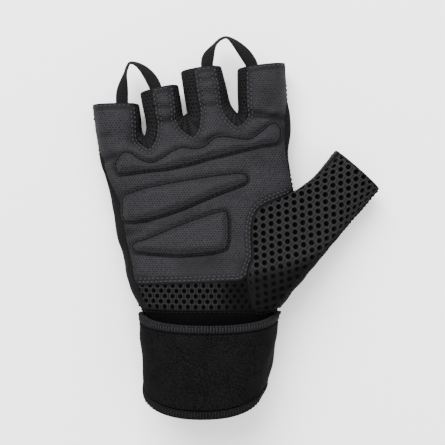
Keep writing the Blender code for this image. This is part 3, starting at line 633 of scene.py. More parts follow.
def wallUp(panel, outer, inner):  # outer and inner faces, with a wall round the rim
    count = len(outer)
    faces = np.concatenate([panel["face"], panel["face"][:, ::-1] + count])
    a, b = panel["rim"][:, 0], panel["rim"][:, 1]
    wall = np.stack([b, a, a + count, b + count], axis=1)
    flats = np.concatenate([panel["flat"], panel["flat"][:, ::-1]])
    lookup = dict(zip(panel["face"].reshape(-1).tolist(), panel["flat"].reshape(-1, 2).tolist()))
    rimFlats = np.array([[lookup[i % count] for i in row] for row in wall.tolist()])
    places = np.concatenate([outer, inner])
    return places, np.concatenate([faces, wall]), np.concatenate([flats, rimFlats])


def finishPiece(obj, node, material):
    obj.data.materials.append(material)
    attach(obj, "root")
    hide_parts(node)


def wire(tree, target, value):  # a link if it is a socket, else a plain setting
    if isinstance(value, bpy.types.NodeSocket):
        tree.links.new(value, target)
    else:
        target.default_value = value


def mathNode(tree, kind, *values):
    made = tree.nodes.new("ShaderNodeMath")
    made.operation = kind
    for socket, value in zip(made.inputs, values):
        wire(tree, socket, value)
    return made.outputs[0]


def rampNode(tree, value, low, high, outLow=0.0, outHigh=1.0):
    made = tree.nodes.new("ShaderNodeMapRange")
    made.interpolation_type = "SMOOTHSTEP"
    wire(tree, made.inputs["Value"], value)
    for socket, number in zip(list(made.inputs)[1:5], (low, high, outLow, outHigh)):
        socket.default_value = number
    return made.outputs["Result"]


def noiseNode(tree, place, scale, detail=3.0):
    made = tree.nodes.new("ShaderNodeTexNoise")
    made.inputs["Scale"].default_value = scale
    made.inputs["Detail"].default_value = detail
    tree.links.new(place, made.inputs["Vector"])
    return made.outputs["Fac"]


def mixNode(tree, share, first, second):
    made = tree.nodes.new("ShaderNodeMix")
    made.data_type = "RGBA"
    wire(tree, made.inputs["Factor"], share)
    wire(tree, made.inputs[6], first)
    wire(tree, made.inputs[7], second)
    return made.outputs[2]


def patternNode(tree, kind, u, v, across, along):  # 0 on the ground of the cloth, 1 on its mark
    turnU = mathNode(tree, "MULTIPLY", u, 2 * math.pi / across)
    turnV = mathNode(tree, "MULTIPLY", v, 2 * math.pi / along)
    if kind == "dots":
        across, along = mathNode(tree, "COSINE", turnU), mathNode(tree, "COSINE", turnV)
        rows = mathNode(tree, "COSINE", mathNode(tree, "MULTIPLY", turnV, 2.0))
        rows = mathNode(tree, "MULTIPLY", rows, 0.55)
        dots = mathNode(tree, "ADD", mathNode(tree, "MULTIPLY", across, along), rows)
        return rampNode(tree, dots, -0.55, 0.50)
    if kind == "ribs":
        return rampNode(tree, mathNode(tree, "COSINE", turnU), -0.9, 0.9)
    lean = mathNode(tree, "ABSOLUTE", mathNode(tree, "SINE", turnV))
    slanted = mathNode(tree, "ADD", turnU, mathNode(tree, "MULTIPLY", lean, 1.6))
    return rampNode(tree, mathNode(tree, "COSINE", slanted), -0.7, 0.9)


def pointValue(tree, name):  # a value that the mesh keeps at its points
    made = tree.nodes.new("ShaderNodeAttribute")
    made.attribute_name = name
    return made.outputs["Fac"]


def shadeCloth(tree, look, colour):  # painted shade by the rims, round the pads, in the folds and in the holes, and a painted highlight on the net's ribs
    shade = (*look["shade"], 1)
    # painted shade in the seam groove right by the rim
    if look.get("edge"):
        dark = rampNode(tree, pointValue(tree, "away"), 0.0, look["edge"], 0.75, 0.0)
        colour = mixNode(tree, dark, colour, shade)
    # a thin painted line of shade in the stitched groove round each pad
    if look.get("line"):
        off = mathNode(tree, "SUBTRACT", pointValue(tree, "away"), look["line"])
        dark = rampNode(tree, mathNode(tree, "ABSOLUTE", off), 0.0002, 0.0006, 0.9, 0.0)
        colour = mixNode(tree, dark, colour, shade)
    # painted shade in the creases, sewn rows and round the pads, then a wide band of painted shade where
    # the leather curves away from the light by its rims
    if look.get("softShade"):
        deep = mathNode(tree, "MULTIPLY", pointValue(tree, "creaseShade"), 0.75)
        colour = mixNode(tree, deep, colour, shade)
        dark = rampNode(tree, pointValue(tree, "away"), 0.0, look["softShade"], 0.35, 0.0)
        colour = mixNode(tree, dark, colour, shade)
    # a painted highlight on the net's raised ribs, and painted shade in its holes
    if look.get("pit"):
        light = rampNode(tree, pointValue(tree, "ribHighlight"), 0.1, 0.9, 0.0, 0.8)
        colour = mixNode(tree, light, colour, (*look["ribHighlight"], 1))
        colour = mixNode(tree, pointValue(tree, "hole"), colour, shade)
    return colour


def makeCloth(name, look):
    material = bpy.data.materials.new(name)
    material.use_nodes = True
    tree = material.node_tree
    shader = tree.nodes["Principled BSDF"]
    cloth = tree.nodes.new("ShaderNodeUVMap")
    cloth.uv_map = "cloth"
    split = tree.nodes.new("ShaderNodeSeparateXYZ")
    tree.links.new(cloth.outputs["UV"], split.inputs[0])
    place = tree.nodes.new("ShaderNodeTexCoord").outputs["Object"]
    wander = mathNode(tree, "MULTIPLY", noiseNode(tree, place, look["wanderScale"], 1.0), look["wander"])
    u = mathNode(tree, "ADD", split.outputs[0], wander)
    v = mathNode(tree, "SUBTRACT", split.outputs[1], wander)
    mark = patternNode(tree, look["kind"], u, v, *look["pitch"])
    grain = noiseNode(tree, place, look["grain"], 4.0)
    cloudy = rampNode(tree, noiseNode(tree, place, look["cloudScale"]), 0.3, 0.7)
    colour = mixNode(tree, mark, (*look["ground"], 1), (*look["mark"], 1))
    worn = mathNode(tree, "MULTIPLY", cloudy, look["variation"])
    colour = mixNode(tree, worn, colour, (*look["worn"], 1))
    speck = rampNode(tree, grain, 0.35, 0.7, 0.0, look["speck"])
    colour = mixNode(tree, speck, colour, (*look["worn"], 1))
    height = mathNode(tree, "MULTIPLY", mark, look["markHeight"])
    height = mathNode(tree, "ADD", height, mathNode(tree, "MULTIPLY", grain, look["grainHeight"]))
    colour = shadeCloth(tree, look, colour)
    tree.links.new(colour, shader.inputs["Base Color"])
    bump = tree.nodes.new("ShaderNodeBump")
    bump.inputs["Strength"].default_value = look["strength"]
    bump.inputs["Distance"].default_value = 1.0
    tree.links.new(height, bump.inputs["Height"])
    tree.links.new(bump.outputs["Normal"], shader.inputs["Normal"])
    rough = rampNode(tree, grain, 0.3, 0.7, look["rough"] - 0.06, look["rough"] + 0.06)
    tree.links.new(rough, shader.inputs["Roughness"])
    shader.inputs["Sheen Weight"].default_value = look["sheen"]
    shader.inputs["Sheen Roughness"].default_value = 0.5
    shader.inputs["Specular IOR Level"].default_value = look["specular"]
    return material


plainLook = {  # what every cloth has, unless its own look says otherwise
    "kind": "knit", "pitch": (0.0010, 0.0010), "wander": 0.0, "wanderScale": 260.0, "grain": 1500.0,
    "cloudScale": 95.0, "variation": 0.25,
    "ground": (0.0036, 0.0036, 0.0040), "mark": (0.0050, 0.0050, 0.0054), "worn": (0.0065, 0.0065, 0.0068),
    "speck": 0.5, "markHeight": 0.00008, "grainHeight": 0.00006, "strength": 0.8, "rough": 0.85,
    "sheen": 0.0, "specular": 0.03, "shade": (0.0014, 0.0014, 0.0014),
}
looks = {
    "leather": {
        "kind": "dots", "pitch": (0.00145, 0.0022), "wander": 0.0006, "ground": (0.0112, 0.0110, 0.0129),
        "mark": (0.0003, 0.0003, 0.0004), "worn": (0.0220, 0.0217, 0.0248), "variation": 0.12,
        "markHeight": -0.00022, "rough": 0.6, "grain": 1100.0, "grainHeight": 0.00012, "specular": 0.08,
        # widths of the painted shade at the seams and where the leather curves away from the light, and the
        # colour of that painted shade
        "edge": 0.0009, "softShade": 0.005, "shade": (0.0005, 0.0005, 0.0006),
    },
    "knit": {
        "pitch": (0.0008, 0.0009), "ground": (0.0030, 0.0030, 0.0033), "mark": (0.0052, 0.0052, 0.0056),
        "worn": (0.0085, 0.0085, 0.0089),
    },
    "mesh": {
        "kind": "dots", "pitch": (0.0021, 0.0030), "ground": (0.0066, 0.0066, 0.0070),
        "mark": (0.0003, 0.0003, 0.0003), "worn": (0.0110, 0.0110, 0.0115), "markHeight": -0.0004,
    },
    "netting": {
        "pitch": (0.0009, 0.0009), "ground": (0.0022, 0.0022, 0.0023), "mark": (0.0072, 0.0072, 0.0075),
        # the holes are painted dark as shade and the ribs are painted in a lighter highlight colour
        "worn": (0.0110, 0.0110, 0.0115), "pit": True, "shade": (0.0003, 0.0003, 0.0003),
        "ribHighlight": (0.0170, 0.0170, 0.0176),
    },
    "neoprene": {
        "pitch": (0.0009, 0.0008), "ground": (0.0007, 0.0007, 0.0008), "mark": (0.0014, 0.0014, 0.0015),
        "worn": (0.0060, 0.0060, 0.0065), "grainHeight": 0.00016, "grain": 1300.0, "speck": 0.9,
        "specular": 0.02,
    },
    # the cuff's neoprene, painted darker than the wrap's as shade under the wrap's edge
    "cuff": {
        "pitch": (0.0012, 0.0010), "ground": (0.0004, 0.0004, 0.0004), "mark": (0.0009, 0.0009, 0.0009),
        "worn": (0.0018, 0.0018, 0.0019), "specular": 0.015,
    },
    # the top binding's tape, painted lighter as if lit; the bottom binding is a copy of it painted darker
    # as shade
    "binding": {
        "kind": "ribs", "pitch": (0.0015, 0.0015), "ground": (0.0005, 0.0005, 0.0006),
        "mark": (0.0115, 0.0114, 0.0128), "worn": (0.0125, 0.0125, 0.0135), "markHeight": 0.00030,
    },
    "webbing": {
        "pitch": (0.0008, 0.0012), "ground": (0.0029, 0.0029, 0.0031), "mark": (0.0072, 0.0072, 0.0076),
        "worn": (0.0101, 0.0101, 0.0104), "markHeight": 0.00016,
    },
    "hookTape": {
        "kind": "dots", "pitch": (0.0014, 0.0016), "mark": (0.0086, 0.0086, 0.0090),
        "markHeight": 0.0004, "rough": 0.7,
    },
    "thread": {
        "kind": "ribs", "pitch": (0.0004, 0.0004), "ground": (0.0150, 0.0148, 0.0170),
        "mark": (0.0225, 0.0221, 0.0250), "worn": (0.0290, 0.0286, 0.0320), "rough": 0.6,
    },
}
looks["darkThread"] = {
    **looks["thread"], "ground": (0.0012, 0.0012, 0.0013), "mark": (0.0030, 0.0030, 0.0032),
    "worn": (0.0045, 0.0045, 0.0048),
}
looks["heelNetting"] = {
    **looks["netting"], "ground": (0.0014, 0.0014, 0.0015), "mark": (0.0040, 0.0040, 0.0042),
    # the heel net's painted highlight colour on its ribs
    "worn": (0.0066, 0.0066, 0.0069), "ribHighlight": (0.0130, 0.0130, 0.0135),
}
# the same tape as the top binding, painted darker as shade
looks["shadedBinding"] = {
    **looks["binding"], "ground": (0.0003, 0.0003, 0.0003), "mark": (0.0058, 0.0058, 0.0064),
    "worn": (0.0080, 0.0080, 0.0084),
}
# the pads' leather, with a painted line of shade in the groove by the rim
looks["padLeather"] = {**looks["leather"], "edge": 0.0, "line": 0.0008}
cloths = {name: makeCloth(name, {**plainLook, **look}) for name, look in looks.items()}
print("materials made", len(cloths))

padSet = {
    "height": 0.0019, "edge": 0.0006, "edgeWidth": 0.0006, "lift": 0.0009, "flange": 0.0008,
    "rise": 0.0040, "groove": 0.00030, "grooveWidth": 0.0004, "swell": (0.011, 0.0004),
    "outlineSteps": 400, "endSteps": 20,
}
padRows = {  # x, low and high, as shares of the palm
    "knuckle_pad": [
        (-0.490, 0.867, 0.899), (-0.474, 0.831, 0.933), (-0.438, 0.823, 0.973),
        (-0.395, 0.828, 0.968), (-0.340, 0.837, 0.927), (-0.285, 0.842, 0.909),
        (-0.235, 0.847, 0.935), (-0.180, 0.859, 0.977), (-0.120, 0.873, 1.002),
        (-0.060, 0.889, 0.993), (-0.005, 0.907, 1.009), (0.040, 0.920, 1.055),
        (0.090, 0.934, 1.069), (0.170, 0.959, 1.059), (0.240, 0.979, 1.057),
        (0.300, 0.996, 1.107), (0.355, 1.005, 1.153), (0.390, 1.019, 1.149),
        (0.412, 1.057, 1.111),
    ],
    "middle_pad": [
        (-0.452, 0.570, 0.680), (-0.440, 0.543, 0.701), (-0.400, 0.529, 0.723),
        (-0.335, 0.537, 0.747), (-0.235, 0.565, 0.771), (-0.125, 0.607, 0.795),
        (0.000, 0.667, 0.818), (0.110, 0.719, 0.835), (0.180, 0.749, 0.841),
        (0.215, 0.767, 0.833), (0.232, 0.787, 0.813),
    ],
    "lower_pad": [
        (-0.394, 0.374, 0.398), (-0.378, 0.352, 0.416), (-0.330, 0.340, 0.434),
        (-0.235, 0.330, 0.478), (-0.125, 0.326, 0.530), (-0.020, 0.336, 0.574),
        (0.060, 0.348, 0.602), (0.100, 0.362, 0.610), (0.122, 0.384, 0.594),
        (0.132, 0.432, 0.552),
    ],
}
folds = [  # x, y, x, y, width, depth: creases in the leather, in metres from the cuff seam
    (0.0200, 0.1010, 0.0440, 0.0985, 0.0016, 0.0008),
    (0.0140, 0.0985, 0.0330, 0.1035, 0.0022, 0.0005),
    (-0.0190, 0.0985, -0.0060, 0.1010, 0.0018, 0.0005),
    (-0.0160, 0.0925, 0.0030, 0.0930, 0.0020, 0.0005),
    (-0.0400, 0.0870, -0.0250, 0.0880, 0.0020, 0.0005),
    (-0.0560, 0.0760, -0.0440, 0.0800, 0.0020, 0.0006),
    (-0.0330, 0.0720, -0.0200, 0.0755, 0.0020, 0.0006),
    (-0.0060, 0.0850, 0.0100, 0.0900, 0.0020, 0.0006),
    (0.0200, 0.0890, 0.0360, 0.0920, 0.0022, 0.0006),
    (-0.0420, 0.0390, -0.0300, 0.0405, 0.0022, 0.0007),
    (-0.0400, 0.0440, -0.0260, 0.0455, 0.0022, 0.0006),
    (-0.0340, 0.0150, -0.0220, 0.0190, 0.0022, 0.0005),
    (-0.0310, 0.1035, -0.0150, 0.1050, 0.0016, 0.0005),
    (-0.0290, 0.0960, -0.0150, 0.0985, 0.0018, 0.0005),
    (-0.0055, 0.1175, 0.0070, 0.1195, 0.0016, 0.0005),
    (-0.0050, 0.1105, 0.0080, 0.1120, 0.0018, 0.0005),
    (-0.0040, 0.1040, 0.0085, 0.1065, 0.0016, 0.0005),
    (-0.0590, 0.0890, -0.0470, 0.0905, 0.0018, 0.0005),
    (-0.0300, 0.0115, -0.0180, 0.0150, 0.0022, 0.0004),
]
threadSet = {
    "radius": 0.00033, "pitch": 0.0024, "rise": 0.00018, "sides": 6, "steps": 4, "dive": 1.6, "taper": 0.45,
    "flat": (0.0004, 0.0002), "sideHeight": 0.012,  # above it, a normal that points down is turned up
}


def padTable(rows):
    width, length = hand["palmWidth"], hand["palmLength"]
    return [(x * width, low * length, high * length) for x, low, high in rows]


def padOutlines():
    spots = []
    for rows in padRows.values():
        table = padTable(rows)
        first, last = table[0][0], table[-1][0]
        steps, endSteps = padSet["outlineSteps"], padSet["endSteps"]
        ends = [smoothRow(table, first + (last - first) * k / steps) for k in range(steps + 1)]
        spots += [(x + shift.x, y + shift.y) for x, low, high in ends for y in (low, high)]
        for x, low, high in (ends[0], ends[-1]):
            for k in range(endSteps + 1):
                spots.append((x + shift.x, low + (high - low) * k / endSteps + shift.y))
    return treeOf([(x, y, 0.0) for x, y in spots])


outlines = padOutlines()


def swell(places, size, depth):  # a slow unevenness of hand-sewn cloth
    return np.array([depth * noise.noise(Vector(place) / size) for place in places])


def crease(places):  # how far the leather sinks into its folds
    depth = swell(places, *panelSet["leatherSwell"])
    for ax, ay, bx, by, width, deep in folds:
        start = np.array([ax + shift.x, ay + shift.y])
        way = np.array([bx - ax, by - ay])
        off = places[:, :2] - start
        t = np.clip(off @ way / (way @ way), 0, 1)
        gap = np.linalg.norm(off - t[:, None] * way, axis=1) / width
        depth += deep * np.exp(-gap * gap) * np.clip(4 * t * (1 - t) + 0.15, 0, 1)
        depth -= 0.45 * deep * np.exp(-(gap - 2.0) ** 2) * np.clip(4 * t * (1 - t), 0, 1)
    return depth


walls = {  # wall, proud, slot, cloth
    "palm_leather": (0.0016, 0.0005, "leather", "leather"),
    "thumb_patch": (0.0016, 0.0005, "leather", "leather"),
    "back_panel": (0.0012, 0.0, "knit", "knit"),
    "thumb_back": (0.0012, 0.0, "knit", "knit"),
    "heel_mesh": (0.0022, 0.0, "mesh", "heelNetting"),
    "thumb_mesh": (0.0022, 0.0, "mesh", "netting"),
    "cuff": (0.0024, 0.0, "neoprene", "cuff"),
    "fourchette_little_ring": (0.0012, 0.0, "mesh", "mesh"),
    "fourchette_ring_middle": (0.0012, 0.0, "mesh", "mesh"),
    "fourchette_middle_index": (0.0012, 0.0, "mesh", "mesh"),
}
panelSet = {  # seams, swells, sewn rows and the pads' outlines on the cut panels, and how strong the painted shade is along the rows and round the pads
    "gap": 0.00001, "roll": 0.0003, "leatherRoll": 0.0006, "rollWidth": 0.0011, "floor": 0.0001,
    "knitSwell": (0.006, 0.0008), "netSwell": (0.012, 0.0005), "calm": 0.004, "foldDepth": 0.0007,
    "rows": (0.0012, 0.0029), "rowWidth": 0.0005, "rowDepth": 0.00025,
    "padWidth": 0.0009, "padDepth": 0.0005, "padShade": 0.0007, "knitStretch": (1.0, 0.45, 1.0),
    "leatherSwell": (0.013, 0.0005), "rowShadeAmount": 0.8, "padShadeAmount": 0.85,
}
surfaces = {}  # the outer face of each finished piece, for what is sewn on it


def bell(distance, width):  # 1 on a line, and close to 0 at twice the width
    return np.exp(-(distance / width) ** 2)


def makePanel(name):
    wall, proud, slot, cloth = walls[name]
    panel = cutPanel(name)
    pullIn(panel, panelSet["gap"])
    away, normal = panel["away"], panel["normal"]
    seam = panel["beside"] >= 0
    roll = np.where(seam, panelSet["leatherRoll" if slot == "leather" else "roll"], panelSet["roll"])
    lift = proud - roll * (1 - easeArray(away / panelSet["rollWidth"])) ** 2
    creaseShade = 0 * away
    if slot == "knit":
        waves = swell(panel["place"] * panelSet["knitStretch"], *panelSet["knitSwell"])
        lift = lift + waves * easeArray(away / panelSet["calm"])
    if slot == "leather":
        sunk = crease(panel["place"])
        rows = sum(bell(away - row, panelSet["rowWidth"]) for row in panelSet["rows"])
        rows = rows * (panel["beside"] != panelNames.index("back_panel"))
        lift = lift - sunk - panelSet["rowDepth"] * rows
        # painted shade in the creases and in the sewn rows' grooves
        creaseShade = np.maximum(np.clip(sunk / panelSet["foldDepth"], 0, 1), panelSet["rowShadeAmount"] * rows)
    if name == "palm_leather":
        pad = np.array([outlines.find((p[0], p[1], 0.0))[2] for p in panel["place"]])
        lift = lift - panelSet["padDepth"] * bell(pad, panelSet["padWidth"])
        # painted shade on the leather round the pads' outlines
        creaseShade = np.maximum(creaseShade, panelSet["padShadeAmount"] * bell(pad, panelSet["padShade"]))
    outer = panel["place"] + normal * lift[:, None]
    inner = panel["place"] + normal * (proud - wall)
    outer[:, 2] = np.maximum(outer[:, 2], panelSet["floor"])
    inner[:, 2] = np.maximum(inner[:, 2], panelSet["floor"] + 0.5 * wall)
    places, faces, flats = wallUp(panel, outer, inner)
    values = {"away": np.concatenate([away, away]), "creaseShade": np.concatenate([creaseShade, 0 * creaseShade])}
    obj = addMesh(name + "_cloth", places, faces, flats, values)
    surfaces[name] = (outer, panel)
    finishPiece(obj, name, cloths[cloth])


netSet = {  # walls and rims in shares of a hole's radius
    "wallStart": 0.72, "wallWidth": 0.42, "rimAt": 1.35, "rimWidth": 0.28, "borderWidth": 0.0004,
    "sideFrom": 0.62, "sideSpread": 1.1,  # below this share of its height the cloth is laid flat
}
# Lattice steps, a hole and its radius in millimetres on the frame's plan; other lengths in metres.
# fade gives a spot, a way and a width: past it the holes grow shallow, the ribs' painted highlight dims and
# the net is painted darker as shade
nets = {
    "thumb_mesh": {
        "steps": ((4.05, 1.07), (0.10, -3.77)), "hole": (13.8, 2.3), "radius": 1.30, "finer": 1,
        "border": 0.0008, "pit": 0.0012, "rim": 0.00016, "fade": ((0.0094, -0.027), (-0.28, 0.96), 0.010),
    },
    "heel_mesh": {
        "steps": ((3.9, 0.0), (1.95, -2.6)), "hole": (-36.0, -31.6), "radius": 1.05, "finer": 2,
        "border": 0.0004, "pit": 0.0010, "rim": 0.00014, "fade": ((-0.006, -0.036), (-1.0, 0.0), 0.018),
    },
}


def finerPanel(panel, level):  # the same panel with each quad cut smaller
    mesh = bpy.data.meshes.new("finer")
    mesh.from_pydata(panel["place"].tolist(), [], panel["face"].tolist())
    layer = mesh.uv_layers.new(name="cloth")
    layer.data.foreach_set("uv", panel["flat"].reshape(-1))
    mesh.attributes.new("panel", "INT", "FACE")
    fine = refine(mesh, level)
    tree = treeOf(panel["place"])
    near = np.array([tree.find(p)[1] for p in fine["place"]])
    return {
        "face": fine["face"], "flat": fine["flat"], "rim": rimEdges(fine["face"]),
        "place": fine["place"], "normal": panelNormals(panel, fine, near),
        "away": awayFrom(panel["place"], panel["rim"], fine["place"]), "beside": panel["beside"][near],
    }


def panelNormals(panel, fine, near):  # the skin's own normals, so that the rims keep theirs
    normal = fine["normal"].copy()
    flip = (normal * panel["normal"][near]).sum(axis=1) < 0
    normal[flip] *= -1
    close = np.isin(near, np.unique(panel["rim"]))
    normal[close] = panel["normal"][near][close]
    return normal


def holeDistance(panel, net):  # to the nearest hole's centre, with the cloth laid flat at its sides
    place, normal = panel["place"], panel["normal"]
    below = np.maximum(0, place[:, 2].max() * netSet["sideFrom"] - place[:, 2])
    spread = normal[:, :2] * (netSet["sideSpread"] * below)[:, None]
    flat = (place[:, :2] + spread) * 1000 - np.array(net["hole"])
    steps = np.array(net["steps"])
    share = flat @ np.linalg.inv(steps)
    least = np.full(len(flat), 1e9)
    for i in (0, 1):
        for j in (0, 1):
            corner = (np.floor(share) + (i, j)) @ steps
            least = np.minimum(least, np.linalg.norm(flat - corner, axis=1))
    return least


def makeNet(name):
    wall, proud, slot, cloth = walls[name]
    net = nets[name]
    panel = cutPanel(name)
    pullIn(panel, panelSet["gap"])
    panel = finerPanel(panel, net["finer"])
    away, normal = panel["away"], panel["normal"]
    far = holeDistance(panel, net) / net["radius"]
    spot, way, width = net["fade"]
    show = easeArray(((panel["place"][:, :2] - np.array(spot)) @ np.array(way)) / width + 0.5)
    inside = easeArray((away - net["border"]) / netSet["borderWidth"])
    hole = (1 - easeArray((far - netSet["wallStart"]) / netSet["wallWidth"])) * inside
    rim = bell(far - netSet["rimAt"], netSet["rimWidth"]) * inside
    lift = net["rim"] * rim - net["pit"] * hole * (0.4 + 0.6 * show)
    lift = lift - panelSet["roll"] * (1 - easeArray(away / panelSet["rollWidth"])) ** 2
    lift = lift + swell(panel["place"], *panelSet["netSwell"]) * easeArray(away / panelSet["calm"])
    outer = panel["place"] + normal * lift[:, None]
    inner = panel["place"] + normal * (proud - wall)
    outer[:, 2] = np.maximum(outer[:, 2], panelSet["floor"])
    places, faces, flats = wallUp(panel, outer, inner)
    # painted shade in the holes and over the faded part of the net, and a painted highlight on the raised
    # ribs
    values = {
        "away": away, "hole": np.maximum(hole, 0.55 * (1 - show)), "ribHighlight": rim * (0.15 + 0.85 * show),
    }
    values = {key: np.concatenate([row, 0 * row]) for key, row in values.items()}
    obj = addMesh(name + "_cloth", places, faces, flats, values)
    surfaces[name] = (outer, panel)
    finishPiece(obj, name, cloths[cloth])


for name in walls:
    if name in nets:
        makeNet(name)
    else:
        makePanel(name)
print("panels made")


def gridFaces(rows, columns):
    index = np.arange(rows * columns).reshape(rows, columns)
    corners = index[:-1, :-1], index[:-1, 1:], index[1:, 1:], index[1:, :-1]
    return np.stack([c.reshape(-1) for c in corners], axis=1)


def gridPanel(places, flats):  # a grid of points as a panel, like the ones cut from the skin
    rows, columns = places.shape[:2]
    faces = gridFaces(rows, columns)
    flat = flats.reshape(-1, 2)[faces]
    points = places.reshape(-1, 3)
    rim = rimEdges(faces)
    away = awayFrom(points, rim, points)
    return {"face": faces, "flat": flat, "place": points, "rim": rim, "away": away}


def makePad(name, rows):
    table = padTable(rows)
    first, last = table[0][0], table[-1][0]
    across, along = ((180, 50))
    places = np.empty((across + 1, along + 1, 3))
    for i in range(across + 1):
        x, low, high = smoothRow(table, first + (last - first) * (1 - math.cos(math.pi * i / across)) / 2)
        for j in range(along + 1):
            share = (1 - math.cos(math.pi * j / along)) / 2
            places[i, j] = palmPoint(x, low + (high - low) * share) + shift
    panel = gridPanel(places, places[:, :, :2] - np.array(hand["place"][:2]))
    away = panel["away"]
    crown = easeArray((away - padSet["flange"]) / padSet["rise"])
    height = padSet["lift"] + padSet["edge"] * easeArray(away / padSet["edgeWidth"])
    height += (padSet["height"] - padSet["edge"]) * crown
    height += swell(panel["place"], *padSet["swell"]) * crown
    height -= padSet["groove"] * bell(away - padSet["flange"], padSet["grooveWidth"])
    up = np.array([0.0, 0.0, 1.0])
    outer = panel["place"] + up * height[:, None]
    inner = panel["place"] + up * padSet["lift"]
    if (outer[panel["face"][0][1]] - outer[panel["face"][0][0]])[1] > 0:
        panel["face"], panel["flat"] = panel["face"][:, ::-1], panel["flat"][:, ::-1]
        panel["rim"] = panel["rim"][:, ::-1]
    shells = wallUp(panel, outer, inner)
    values = {"away": np.concatenate([away, away])}
    obj = addMesh(name + "_cushion", *shells, values)
    surfaces[name] = (outer, panel)
    finishPiece(obj, name, cloths["padLeather"])


for name, rows in padRows.items():
    makePad(name, rows)
print("pads made")

strap = {
    "wall": 0.0026, "height": 0.0318, "start": 315.0, "end": -112.0, "set": 0.0018,
    "dips": (0.0102, 0.0048), "hem": 0.0040, "hemWall": 0.0031, "gap": 0.0006, "seamGap": 0.0005,
    "tabLength": 0.0150, "tabHeight": 0.0290, "step": 2.0, "under": 0.0004,
    "riseFrom": 62.0, "riseTo": 12.0, "edgeWidth": 0.0012, "edgeRound": 0.3, "ripple": (0.11, 9.0),
}


def strapPly(angle):  # 1 on the cuff, 2 where the strap lies on its own start
    riseFrom, riseTo = (strap["start"] - 360 + strap[key] for key in ("riseFrom", "riseTo"))
    return 1 + ease((riseFrom - angle) / (riseFrom - riseTo))


def makeStrap(name, node, start, end, low, high, wall, dips, cloth, rows, wave=0.0):
    count = max(8, round(abs(start - end) / strap["step"]))
    around, along = strap["ripple"]
    outer, inner = np.empty((count + 1, rows + 1, 3)), np.empty((count + 1, rows + 1, 3))
    for k in range(count + 1):
        angle = start + (end - start) * k / count
        dip = max(0.0, math.sin(math.radians(angle)))
        ply = strapPly(angle)
        seat = ply * strap["gap"] + (ply - 1) * strap["hemWall"]
        bottom, top = low - dips[0] * dip, high - dips[1] * dip
        for j in range(rows + 1):
            share = j / rows
            y = bottom + (top - bottom) * share
            edge = min(share, 1 - share) * (high - low)
            thinner = strap["edgeRound"] * wall * (1 - ease(edge / strap["edgeWidth"]))
            ripple = wave * math.sin(angle * around + along * share) * math.sin(math.pi * share)
            outer[k, j] = trunkPoint(angle, y, seat + wall - thinner + ripple) + shift
            inner[k, j] = trunkPoint(angle, y, seat) + shift
    flats = np.empty((count + 1, rows + 1, 2))
    steps = np.linalg.norm(np.diff(outer[:, rows // 2], axis=0), axis=1)
    flats[:, :, 0] = np.concatenate([[0], np.cumsum(steps)])[:, None]
    flats[:, :, 1] = np.linspace(0, high - low, rows + 1)[None, :]
    panel = gridPanel(outer, flats)
    shells = wallUp(panel, outer.reshape(-1, 3), inner.reshape(-1, 3))
    away = np.concatenate([panel["away"]] * 2)
    obj = addMesh(name, *shells, {"away": away})
    turnOut(obj)
    surfaces[node] = (outer.reshape(-1, 3), panel)
    finishPiece(obj, node, cloths[cloth])


def turnOut(obj):
    shell = bmesh.new()
    shell.from_mesh(obj.data)
    bmesh.ops.recalc_face_normals(shell, faces=shell.faces)
    shell.to_mesh(obj.data)
    shell.free()


def makeWrap():
    top = -strap["set"]
    low = top - strap["hem"] - strap["seamGap"] - strap["height"]
    hem = low - strap["seamGap"]
    start, end, dips = strap["start"], strap["end"], strap["dips"]
    makeStrap(
        "wrap_band", "wrist_wrap", start, end, low - strap["under"],
        low + strap["height"] + strap["under"], strap["wall"], dips, "neoprene", 40, 0.0003)
    makeStrap(
        "top_hem", "wrap_top_binding", start, end, top - strap["hem"], top, strap["hemWall"],
        dips[1:] * 2, "binding", 8)
    makeStrap(
        "bottom_hem", "wrap_bottom_binding", start, end, hem - strap["hem"], hem, strap["hemWall"],
        dips[:1] * 2, "shadedBinding", 8)
    around = math.degrees(1 / (hand["wristDepth"] / 2 + 2 * strap["wall"]))
    middle, start = low + strap["height"] / 2, end - strap["seamGap"] * around
    half = strap["tabHeight"] / 2
    makeStrap(
        "tab_tape", "closure_tab", start, start - strap["tabLength"] * around, middle - half,
        middle + half, strap["wall"] * 0.7, (0.0, 0.0), "hookTape", 16)


makeWrap()
print("wrap made")

loopSet = {
    "width": 0.0064, "wall": 0.0010, "tuck": 0.0060, "sink": 0.0007, "steps": 60, "across": 10,
    "tuckSteps": 6, "pulls": (0.34, 0.52, 0.20), "thinning": 0.45,
    "crown": 72.0,  # how far the tape stands on edge at the top of its arch, in degrees
}
loops = {  # from finger, share, to finger, share, rise, lean, bend of the falling leg
    "pull_loop_little_ring": (0, 0.36, 1, -0.16, 0.0136, -0.0044, 0.50),
    "pull_loop_middle_index": (2, 0.38, 3, -0.46, 0.0152, -0.0018, 0.26),
}


def loopFoot(finger, share):
    angle = angleAt(share, fingerSet["round"])
    hem, low = (fingerPoint(finger, step, angle) for step in (1.0, fingerSet["steps"][-2]))
    way = (hem - low).normalized()
    slope = fingerPoint(finger, 1.0, angle - 8) - fingerPoint(finger, 1.0, angle + 8)
    tilt = math.atan2(slope.z, slope.x)
    wall, proud = walls["palm_leather"][:2]
    sunk = wall - proud + strap["gap"] + loopSet["wall"] / 2 + loopSet["sink"]
    hem = hem + Vector((math.sin(tilt), 0, -math.cos(tilt))) * sunk
    return hem - way * loopSet["tuck"], hem, way, tilt


